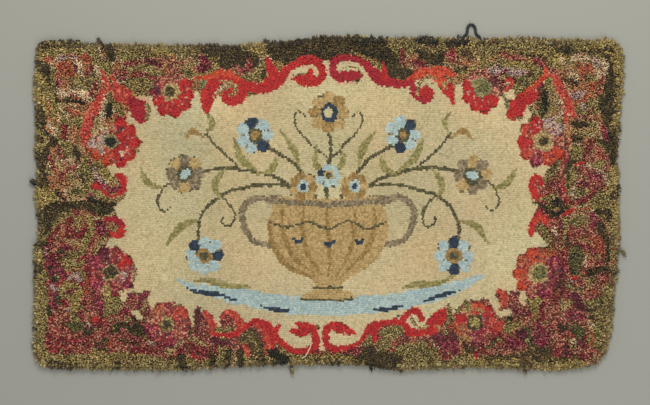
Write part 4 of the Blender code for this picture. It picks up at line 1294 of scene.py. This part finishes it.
# What stands on both sides of the middle, as it is drawn on the right: the urn's handle, the
# stems from the inside outwards, and the leaves along them.
PAIRED_STROKES = (
    ("bark", ((124, -6, 12), (170, 14, 15), (206, -9, 17), (207, -53, 17), (185, -91, 15),
              (143, -104, 12))),
    ("stem", ((34, 16, 11), (65, 71, 9), (105, 113, 9), (149, 138, 8), (176, 151, 6))),
    ("stem", ((62, 12, 10), (131, 61, 9), (211, 82, 9), (288, 82, 8), (345, 68, 6))),
    ("stem", ((104, 42, 7), (181, 43, 8), (263, 18, 8), (313, -31, 8), (320, -85, 7), (307, -121, 5))),
    ("stem", ((211, 82, 5), (248, 115, 6), (284, 149, 6), (302, 171, 5))),
    ("stem", ((263, 18, 5), (232, -22, 6), (238, -54, 5), (260, -52, 5), (260, -35, 4))),
    ("stem", ((345, 68, 5), (393, 48, 6), (419, 10, 6), (405, -19, 5), (385, -9, 4))),
    ("stem", ((5, 110, 5), (49, 151, 5), (84, 198, 5), (75, 225, 4), (58, 212, 3))),
    ("leaf", ((70, 84, 3), (85, 131, 20), (119, 177, 3))),
    ("leaf", ((126, 117, 3), (137, 85, 18), (173, 67, 3))),
    ("leaf", ((171, 73, 3), (213, 112, 20), (234, 158, 3))),
    ("leaf", ((251, 84, 3), (278, 49, 18), (265, 4, 3))),
    ("leaf", ((319, -41, 3), (363, -60, 20), (397, -105, 3))),
    ("leaf", ((401, 34, 3), (441, 49, 18), (463, 88, 3))),
    ("leaf", ((3, 67, 3), (33, 100, 16), (28, 143, 3))),
    ("leaf", ((300, 169, 3), (285, 196, 15), (299, 222, 3))),
    ("honey", ((302, 160, 3), (332, 177, 16), (351, 151, 3))),
)

# What is hooked over the urn: its shaded side, flutes, waved line, dots, lip and foot.
URN_STROKES = (
    ("honey", ((-146, -44, 8), (-138, -100, 14), (-100, -152, 14), (-40, -184, 8))),
    ("honey", ((-4, -12, 5), (-2, -72, 12), (0, -132, 9), (2, -180, 4))),
    ("stem", ((-146, -46, 4), (-100, -62, 6), (-50, -46, 5), (0, -62, 6), (50, -46, 5),
              (100, -62, 6), (146, -46, 4))),
    ("navy", ((-14, -92, 4), (0, -102, 13), (14, -92, 4))),
    ("bark", ((-136, 10, 20), (-60, 2, 22), (0, 0, 22), (60, 2, 22), (136, 10, 20))),
    ("sand", ((-120, 14, 6), (0, 8, 7), (120, 14, 6))),
    ("stem", ((-34, -206, 7), (0, -208, 8), (34, -206, 7))),
    ("stem", ((-66, -236, 5), (0, -238, 6), (66, -236, 5))),
)
PAIRED_URN_STROKES = (
    ("honey", ((111, -8, 5), (112, -70, 12), (84, -130, 10), (35, -176, 4))),
    ("honey", ((61, -10, 5), (64, -72, 12), (48, -130, 9), (19, -178, 4))),
    ("navy", ((64, -88, 4), (76, -96, 12), (88, -88, 4))),
)

CENTRE_FLOWERS = (
    (0, 222, 50, 8, ("sand", "honey", "sand", "sand", "honey", "sand", "honey", "sand"),
     0, 222, 22, "navy", 12, "cream", 0),
    (-180, 166, 44, 7, ("ice", "ice", "navy", "ice", "ice", "ice", "navy"),
     -178, 166, 18, "stem", 10, "honey", 0),
    (182, 168, 44, 7, ("ice", "navy", "ice", "ice", "ice", "navy", "ice"),
     182, 168, 18, "stem", 10, "honey", 0),
    (-352, 72, 46, 8, ("bark", "sand", "bark", "sand", "bark", "bark", "sand", "bark"),
     -352, 72, 21, "stem", 12, "ice", 0),
    (354, 68, 46, 8, ("sand", "bark", "sand", "bark", "bark", "sand", "bark", "bark"),
     354, 68, 21, "stem", 12, "ice", 0),
    (-304, -128, 46, 8, ("navy", "ice", "ice", "navy", "ice", "ice", "ice", "ice"),
     -304, -128, 19, "honey", 10, "stem", 0),
    (308, -130, 46, 8, ("ice", "ice", "navy", "ice", "ice", "ice", "navy", "ice"),
     308, -130, 19, "honey", 10, "stem", 0),
    (-62, 40, 34, 7, ("honey", "sand", "honey", "honey", "sand", "honey", "sand"),
     -62, 40, 14, "ice", 7, "navy", 0),
    (64, 40, 34, 7, ("sand", "honey", "honey", "sand", "honey", "sand", "honey"),
     64, 40, 14, "ice", 7, "navy", 0),
    (0, 66, 30, 7, ("ice", "ice", "ice", "navy", "ice", "ice", "ice"), 0, 66, 13, "sand", 7, "stem", 0),
)


def with_mirrored(strokes):
    """Each stroke, then the same stroke on the other side of the middle."""
    both = []
    for name, rows in strokes:
        both += [(name, rows), (name, [(-x, y, width) for x, y, width in rows])]
    return both


def draw_centre(x, y, mix, chance):
    """Draws the urn and its flowers over the places of the open field."""
    x = x + 6 * (soft_noise(x, y, 30, 31) - 0.5)
    y = y + 6 * (soft_noise(x, y, 30, 32) - 0.5)
    for name, rows in [*CENTRE_STROKES, *with_mirrored(PAIRED_STROKES)]:
        mix[depth_in_stroke(x, y, rows) > 0] = MIXES.index(name)
    urn = URN_SIDE + tuple((-across, up) for across, up in reversed(URN_SIDE))
    mix[in_outline(x, y, urn)] = MIXES.index("sand")
    for name, rows in [*with_mirrored(PAIRED_URN_STROKES), *URN_STROKES]:
        mix[depth_in_stroke(x, y, rows) > 0] = MIXES.index(name)
    for row in CENTRE_FLOWERS:
        flower(x, y, mix, row, chance, "bark", "stem")


# Hooked loops of the field. The maker pulls the yarn up through the cloth in small loops, row by
# wavy row. The field is hooked low and even, and each loop shows as a rounded bead.

ROW_GAP = 4.8  # millimetres between rows
LOOP_GAP = 4.6  # millimetres along a row
PILE_ROOT = 0.0016
WOOL = wool("hooked wool", None, 1100, 0.25, 0.56)


def top_of_pile(x, y):
    """The height of the pile at each place in metres, and 0 off the rug."""
    down = Vector((0, 0, -1))
    heights = np.zeros(len(x))
    for i, (a, b) in enumerate(zip(x / 1000, y / 1000)):
        hit = cad_rug_tree.ray_cast(Vector((a, b, 0.05)), down)[0]
        if hit is not None:
            heights[i] = hit.z
    return heights


def hand_hooked(u, v):
    """Where the even lattice of rows ends up under an uneven hand."""
    x = u + 22 * (soft_noise(u, v, 150, 41) - 0.5) + 7 * (soft_noise(u, v, 47, 42) - 0.5)
    y = v + 30 * (soft_noise(u, v, 150, 43) - 0.5) + 9 * (soft_noise(u, v, 47, 44) - 0.5)
    return x, y


def dye_of(mix, x, y, chance):
    """The colour of each tuft: one of its mix's yarns, which change in short runs."""
    run = 0.60 * chance.random(len(x)) + 0.40 * soft_noise(x, y, 13, 51)
    run = np.clip((run - 0.12) / 0.76, 0, 0.999)
    dye = np.ones((len(x), 4))
    for index, name in enumerate(MIXES):
        yarns = np.array([linear(*yarn) for yarn in YARNS[name]])
        light = yarns @ (0.21, 0.72, 0.07)
        yarns = 0.7 * yarns + 0.3 * yarns.mean(0) * (light / light.mean())[:, None]
        yarns = 0.88 * yarns + 0.12 * yarns.mean(0)
        picked = mix == index
        dye[picked, :3] = yarns[(run[picked] * len(yarns)).astype(int)]
    dye[:, :3] *= 0.96 * chance.normal(1, 0.06, len(x))[:, None].clip(0.8, 1.2)
    return dye.clip(0, 0.86)


def tuft_shape(name, verts, faces, tips):
    """A small mesh that the pile repeats, one unit high and about one across."""
    mesh = bpy.data.meshes.new(name)
    mesh.from_pydata(verts, [], faces, shade_flat=False)
    # The tip attribute carries painted shade: low at the root, 1 at the top.
    mesh.attributes.new("tip", "FLOAT", "POINT").data.foreach_set("value", tips)
    return bpy.data.objects.new(name, mesh)


def loop_shape():
    """The rounded top of one loop, open below, where its neighbours hide it."""
    verts, tips = [], []
    for height, half in ((0.66, 0.62), (0.93, 0.42)):
        for a, b in ((-1, -1), (1, -1), (1, 1), (-1, 1)):
            verts.append((a * half, b * half, height))
            # Painted shade: the lower ring of each loop is darker, where its neighbours shade it.
            tips.append(0.35 if height < 0.9 else 0.9)
    verts.append((0, 0, 1))
    tips.append(1.0)
    faces = [(k, (k + 1) % 4, 4 + (k + 1) % 4, 4 + k) for k in range(4)]
    faces += [(4 + k, 4 + (k + 1) % 4, 8) for k in range(4)]
    return tuft_shape("field loop", verts, faces, tips)


def pile_tree():
    """Geometry nodes that set one shape on each place, turned, sized and dyed as it says."""
    tree = bpy.data.node_groups.new("hooked pile", "GeometryNodeTree")
    tree.interface.new_socket("Places", in_out="INPUT", socket_type="NodeSocketGeometry")
    tree.interface.new_socket("Shapes", in_out="INPUT", socket_type="NodeSocketCollection")
    tree.interface.new_socket("Thickness", in_out="INPUT", socket_type="NodeSocketFloat")
    tree.interface.new_socket("Height", in_out="INPUT", socket_type="NodeSocketFloat")
    tree.interface.new_socket("Wool", in_out="INPUT", socket_type="NodeSocketMaterial")
    tree.interface.new_socket("Pile", in_out="OUTPUT", socket_type="NodeSocketGeometry")
    nodes, links = tree.nodes, tree.links
    entry = nodes.new("NodeGroupInput")
    leave = nodes.new("NodeGroupOutput")
    shapes = nodes.new("GeometryNodeCollectionInfo")
    shapes.inputs["Separate Children"].default_value = True
    shapes.inputs["Reset Children"].default_value = True
    links.new(entry.outputs["Shapes"], shapes.inputs["Collection"])
    own = {}
    for name, kind in (("shape", "INT"), ("turn", "FLOAT_VECTOR"), ("size", "FLOAT_VECTOR")):
        own[name] = nodes.new("GeometryNodeInputNamedAttribute")
        own[name].data_type = kind
        own[name].inputs["Name"].default_value = name
    turned = nodes.new("FunctionNodeEulerToRotation")
    links.new(own["turn"].outputs["Attribute"], turned.inputs["Euler"])
    scale = nodes.new("ShaderNodeCombineXYZ")
    links.new(entry.outputs["Thickness"], scale.inputs["X"])
    links.new(entry.outputs["Thickness"], scale.inputs["Y"])
    links.new(entry.outputs["Height"], scale.inputs["Z"])
    sized = nodes.new("ShaderNodeVectorMath")
    sized.operation = "MULTIPLY"
    links.new(own["size"].outputs["Attribute"], sized.inputs[0])
    links.new(scale.outputs["Vector"], sized.inputs[1])
    hooked = nodes.new("GeometryNodeInstanceOnPoints")
    hooked.inputs["Pick Instance"].default_value = True
    links.new(entry.outputs["Places"], hooked.inputs["Points"])
    links.new(shapes.outputs["Instances"], hooked.inputs["Instance"])
    links.new(own["shape"].outputs["Attribute"], hooked.inputs["Instance Index"])
    links.new(turned.outputs["Rotation"], hooked.inputs["Rotation"])
    links.new(sized.outputs["Vector"], hooked.inputs["Scale"])
    real = nodes.new("GeometryNodeRealizeInstances")
    links.new(hooked.outputs["Instances"], real.inputs["Geometry"])
    dress = nodes.new("GeometryNodeSetMaterial")
    links.new(real.outputs["Geometry"], dress.inputs["Geometry"])
    links.new(entry.outputs["Wool"], dress.inputs["Material"])
    links.new(dress.outputs["Geometry"], leave.inputs["Pile"])
    return tree


PILE_TREE = pile_tree()


def shape_set(name, shapes):
    """The shapes that one kind of pile repeats, kept together outside the scene."""
    collection = bpy.data.collections.new(name)
    for shape in shapes:
        collection.objects.link(shape)
    return collection


def hook_pile(name, places, turns, sizes, dyes, shapes, which):
    """One piece of pile as a plain mesh that carries its dye at each point."""
    points = bpy.data.meshes.new(name)
    points.from_pydata(places.tolist(), [], [])
    for label, kind, key, values in (
        ("turn", "FLOAT_VECTOR", "vector", turns), ("size", "FLOAT_VECTOR", "vector", sizes),
        ("dye", "FLOAT_COLOR", "color", dyes), ("shape", "INT", "value", which),
    ):
        points.attributes.new(label, kind, "POINT").data.foreach_set(key, np.ravel(values))
    holder = in_scene(name, points)
    modifier = holder.modifiers.new("hooked pile", "NODES")
    modifier.node_group = PILE_TREE
    inputs = {s.name: s.identifier for s in PILE_TREE.interface.items_tree if s.in_out == "INPUT"}
    modifier[inputs["Shapes"]] = shapes
    modifier[inputs["Thickness"]] = 1.0
    modifier[inputs["Height"]] = 1.0
    modifier[inputs["Wool"]] = WOOL
    evaluated = holder.evaluated_get(bpy.context.evaluated_depsgraph_get())
    mesh = bpy.data.meshes.new_from_object(evaluated)
    holder.modifiers.clear()
    holder.data = mesh
    bpy.data.meshes.remove(points)
    mesh.name = name
    spots = np.empty(3 * len(mesh.vertices))
    mesh.vertices.foreach_get("co", spots)
    spots[2::3] = np.maximum(spots[2::3], 0.0002)  # the lowest tufts are pressed flat on the floor
    mesh.vertices.foreach_set("co", spots)
    for spare in ("turn", "size", "shape"):
        if spare in mesh.attributes:
            mesh.attributes.remove(mesh.attributes[spare])
    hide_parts("rug")
    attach(holder, "root")
    return holder


rows = np.arange(-440, 440, ROW_GAP)
columns = np.arange(-760, 760, LOOP_GAP)
u, v = (grid.ravel() for grid in np.meshgrid(columns, rows))
row_number = np.repeat(np.arange(len(rows)), len(columns))
u = u + (row_number % 2) * LOOP_GAP / 2
field_x, field_y = hand_hooked(u, v)
chance = np.random.default_rng(61)
field_x = field_x + chance.normal(0, 0.35, len(u))
field_y = field_y + chance.normal(0, 0.30, len(u))
inside = (np.abs(field_x) < 600) & (np.abs(field_y) < 380)
u, v, row_number = u[inside], v[inside], row_number[inside]
field_x, field_y = field_x[inside], field_y[inside]
odds = chance.random(len(u))
mix, near_red = border_mix(field_x, field_y, odds)
open_field = mix == MIXES.index("cream")
u, v, row_number, field_x, field_y, odds, mix, near_red = (
    part[open_field] for part in (u, v, row_number, field_x, field_y, odds, mix, near_red))
draw_centre(field_x, field_y, mix, odds)
count = len(u)
east_x, east_y = hand_hooked(u + 2, v)
west_x, west_y = hand_hooked(u - 2, v)
along = np.hypot(east_x - west_x, east_y - west_y) / 4
far_x, far_y = hand_hooked(u, v + 2)
near_x, near_y = hand_hooked(u, v - 2)
across = np.hypot(far_x - near_x, far_y - near_y) / 4
heading = np.arctan2(east_y - west_y, east_x - west_x) + chance.normal(0, 0.16, count)
field_turns = np.stack([chance.normal(0, 0.06, count), chance.normal(0, 0.06, count), heading], 1)
field_top = top_of_pile(field_x, field_y)
height = (field_top - PILE_ROOT) * chance.normal(1.0, 0.035, count).clip(0.9, 1.1)
field_sizes = np.stack([0.0058 * along * chance.normal(1, 0.06, count),
                        0.0055 * across * chance.normal(1, 0.06, count), height], 1)
field_dye = dye_of(mix, field_x, field_y, chance)
plain = mix == MIXES.index("cream")
tone = soft_noise(field_x, field_y, 120, 62)[:, None]
green = soft_noise(field_x, field_y, 170, 63)[:, None]
row_shade = 1 + 0.05 * (soft_noise(u * 0.02, row_number * 7.0, 1, 64) - 0.5)[:, None]
tinted = field_dye[:, :3] * (1 + (tone - 0.5) * np.array([0.16, 0.04, -0.06]))
tinted *= 1 + (green - 0.5) * np.array([-0.10, 0.02, 0.02])
tinted *= (0.82 + 0.20 * (soft_noise(field_x, field_y, 140, 65) - 0.5))[:, None] * (1.04, 1.0, 1.0)
field_dye[:, :3] = np.where(plain[:, None], tinted * row_shade, field_dye[:, :3])
pinked = plain & (near_red > -4.0) & (odds < 0.35)
field_dye[pinked, :3] = np.array(linear(204, 154, 120)) * chance.normal(1, 0.1, (pinked.sum(), 1))
FIELD_SHAPES = shape_set("field shapes", [loop_shape()])
field_places = np.stack([field_x / 1000, field_y / 1000, np.full(count, PILE_ROOT)], 1)
for name, west, east in (("field_left", -999, -170), ("field_middle", -170, 170),
                         ("field_right", 170, 999)):
    part = (field_x >= west) & (field_x < east)
    hook_pile(name, field_places[part], field_turns[part], field_sizes[part], field_dye[part],
              FIELD_SHAPES, np.zeros(part.sum(), int))

# Shaggy pile of the border. The loops are hooked higher and cut open, so that each one falls
# apart into leaning ends of yarn. The rim is the longest and spreads outwards over the hem.

TUFT_GAP = 4.0


def leaning_end(lean, side, bend, base, tip, sides=3):
    """One cut end of yarn: full at its root, narrower and blunt at its tip."""
    verts, faces, tips = [], [], []
    heights = (0.10, 0.60, 1.0) if bend else (0.10, 1.0)
    for level in heights:
        out = lean * level ** 1.5
        across = bend * math.sin(level * math.pi)
        thick = base + (tip - base) * level ** 0.8
        for k in range(sides):
            angle = side + k / sides * 2 * math.pi
            verts.append((out * math.cos(side) - across * math.sin(side) + thick * math.cos(angle),
                          out * math.sin(side) + across * math.cos(side) + thick * math.sin(angle),
                          level - 0.08 * math.cos(angle - side) * (level == 1.0)))
            # Painted shade: each end is darker towards its root, down in the pile.
            tips.append(level)
    for ring in range(len(heights) - 1):
        for k in range(sides):
            a, b = ring * sides + k, ring * sides + (k + 1) % sides
            faces.append((a, b, b + sides, a + sides))
    last = (len(heights) - 1) * sides
    faces.append(tuple(range(last, last + sides)))
    return verts, faces, tips


def shag_shape(name, ends):
    """One tuft of one or two cut ends that lean their own way."""
    verts, faces, tips = [], [], []
    for end in ends:
        first = len(verts)
        new_verts, new_faces, new_tips = leaning_end(*end)
        verts += new_verts
        faces += [tuple(first + i for i in face) for face in new_faces]
        tips += new_tips
    return tuft_shape(name, verts, faces, tips)


def upright_shape(name):
    """A tuft that stands upright and close, as where one solid red meets another yarn."""
    verts = [(a * 0.64, b * 0.64, 0.30) for a, b in ((-1, -1), (1, -1), (1, 1), (-1, 1))]
    verts += [(a * 0.40, b * 0.40, 0.92) for a, b in ((-1, -0.8), (0.9, -1), (1, 0.8), (-0.8, 1))]
    verts.append((0.05, -0.04, 1.0))
    faces = [(k, (k + 1) % 4, 4 + (k + 1) % 4, 4 + k) for k in range(4)]
    faces += [(4 + k, 4 + (k + 1) % 4, 8) for k in range(4)]
    # Painted shade: darker at the root, lighter up at the top.
    return tuft_shape(name, verts, faces, [0.1] * 4 + [0.85] * 4 + [1.0])


SHAG_SHAPES = shape_set("shag shapes", [
    shag_shape("shag 1", ((0.34, 0.2, 0.10, 0.38, 0.21),)),
    shag_shape("shag 2", ((0.36, -0.3, 0, 0.33, 0.17), (0.28, 2.5, 0, 0.33, 0.17))),
    shag_shape("shag 3", ((0.22, 0.5, -0.12, 0.38, 0.22),)),
    upright_shape("shag 4"),
])

columns = np.arange(-745, 745, TUFT_GAP)
rows = np.arange(-430, 430, TUFT_GAP * 0.87)
u, v = (grid.ravel() for grid in np.meshgrid(columns, rows))
chance = np.random.default_rng(71)
every_other = np.repeat(np.arange(len(rows)) % 2, len(columns))
shag_x = u + every_other * TUFT_GAP / 2 + chance.normal(0, 0.7, len(u))
shag_y = v + chance.normal(0, 0.7, len(u))
top = top_of_pile(shag_x, shag_y)
on_rug = top > 0.0045
shag_x, shag_y, top = shag_x[on_rug], shag_y[on_rug], top[on_rug]
odds = chance.random(len(shag_x))
mix, near_red = border_mix(shag_x, shag_y, odds)
in_border = mix != MIXES.index("cream")
shag_x, shag_y, top, mix, near_red = (part[in_border] for part in (shag_x, shag_y, top, mix, near_red))
count = len(shag_x)
crisp = near_red > 0
heading = (soft_noise(shag_x, shag_y, 34, 72) * 4 * math.pi + chance.normal(0, 1.1, count))
shag_turns = np.stack([chance.normal(0, 0.10, count), chance.normal(0, 0.10, count), heading], 1)
height = (top - PILE_ROOT) * chance.normal(1.0, 0.10, count).clip(0.75, 1.2)
spread = np.where(crisp, 0.0049, 0.0078) * chance.normal(1, 0.12, count).clip(0.7, 1.3)
shag_sizes = np.stack([spread, spread, height], 1)
shag_dye = dye_of(mix, shag_x, shag_y, chance)
clumps = soft_noise(shag_x, shag_y, 13, 73)
shag_dye[:, :3] *= np.where(crisp, 0.94, 1.00 + 0.28 * clumps)[:, None]
brighter_left = np.interp(shag_x, (-640, -520), (1.12, 1.0))  # brighter towards the left side
shag_dye[:, :3] *= brighter_left[:, None]
shag_dye[:, 2] *= np.where(crisp, 0.80, 0.84)
kinds = np.where(crisp, 3, chance.integers(0, 3, count))
shag_places = np.stack([shag_x / 1000, shag_y / 1000, np.full(count, PILE_ROOT)], 1)
for name, part in (
    ("border_far", (shag_y > 0) & (np.abs(shag_x) < 510)),
    ("border_near", (shag_y <= 0) & (np.abs(shag_x) < 510)),
    ("border_left", shag_x <= -510),
    ("border_right", shag_x >= 510),
):
    hook_pile(name, shag_places[part], shag_turns[part], shag_sizes[part], shag_dye[part],
              SHAG_SHAPES, kinds[part])

# Outermost tufts. They are hooked along the hem and lie outwards over it, so that the rug's
# outline is ragged. Here and there a lock of longer ends stands out.

RIM_STEP = 0.0028

# Each stray lock: where it is rooted, x and y in mm, which way it points, its length and its mix.
STRAY_LOCKS = (
    (-716, 46, 143, 20, "pitch"), (-716, -358, 118, 18, "olive"), (-88, -401, 265, 16, "olive"),
    (106, -400, 262, 11, "pitch"), (176, -402, 280, 12, "brown"), (481, -402, 275, 18, "brown"),
    (320, 400, 95, 10, "pitch"), (105, 401, 80, 12, "pitch"), (242, 398, 100, 11, "pitch"),
    (718, -120, -15, 12, "olive"), (-560, 392, 105, 11, "brown"),
)

rim_places, rim_turns, rim_sizes, rim_spots = [], [], [], []
chance = np.random.default_rng(81)
for place, out in rim_walk(HOOKED_LENGTH, HOOKED_WIDTH, CORNER_RADIUS, RIM_STEP):
    for height, back, level in ((0.0020, 0.0066, 0.75), (0.0050, 0.0080, 0.45), (0.0078, 0.0096, 0.20)):
        hit = rim_at(place, out, height)
        if hit is None:
            continue
        root = hit - out * (back + chance.normal(0, 0.0008))
        root.z = 0.0022 + (0.0078 - 0.0022) * (0.75 - level) * 0.6
        rim_places.append(tuple(root))
        lean = level * 1.45 + chance.normal(0, 0.12)
        aim = math.atan2(out.y, out.x) + chance.normal(0, 0.35)
        rim_turns.append((0, min(lean, 1.35), aim))
        thick = chance.uniform(0.0046, 0.0062)
        rim_sizes.append((thick, thick, (back + 0.0012) * chance.uniform(0.8, 1.25)))
        rim_spots.append((place.x * 1000, place.y * 1000))
stray_mix = []
for across, up, aim, reach, name in STRAY_LOCKS:
    for _ in range(14):
        rim_places.append((across / 1000 + chance.normal(0, 0.0022), up / 1000 + chance.normal(0, 0.0022),
                           chance.uniform(0.0022, 0.0050)))
        rim_turns.append((0, chance.uniform(1.22, 1.45), math.radians(aim) + chance.normal(0, 0.13)))
        rim_sizes.append((0.0042, 0.0042, reach / 1000 * chance.uniform(0.7, 1.05)))
        rim_spots.append((across, up))
        stray_mix.append(MIXES.index(name))
rim_places, rim_turns, rim_sizes = (np.array(part) for part in (rim_places, rim_turns, rim_sizes))
lock_x, lock_y = np.array(rim_spots).T
locks = 0.72 + 0.40 * soft_noise(lock_x, lock_y, 9, 82) + 0.36 * soft_noise(lock_x, lock_y, 26, 83)
rim_sizes[:, 2] *= np.where(rim_turns[:, 1] > 0.55, locks, np.minimum(locks, 1.0))
odds = chance.random(len(rim_places))
rim_mix, _ = border_mix(rim_places[:, 0] * 1000 * 0.992, rim_places[:, 1] * 1000 * 0.985, odds)
rim_mix[-len(stray_mix):] = stray_mix
rim_dye = dye_of(rim_mix, rim_places[:, 0] * 1000, rim_places[:, 1] * 1000, chance)
rim_light = np.where(rim_places[:, 1] > 0.36, 0.72, np.where(rim_places[:, 0] < -0.69, 1.24, 0.92))
rim_dye[:, :3] *= rim_light[:, None] * (0.86, 0.86, 0.78)
hook_pile("rim_tufts", rim_places, rim_turns, rim_sizes, rim_dye, SHAG_SHAPES,
          chance.integers(0, 4, len(rim_places)))
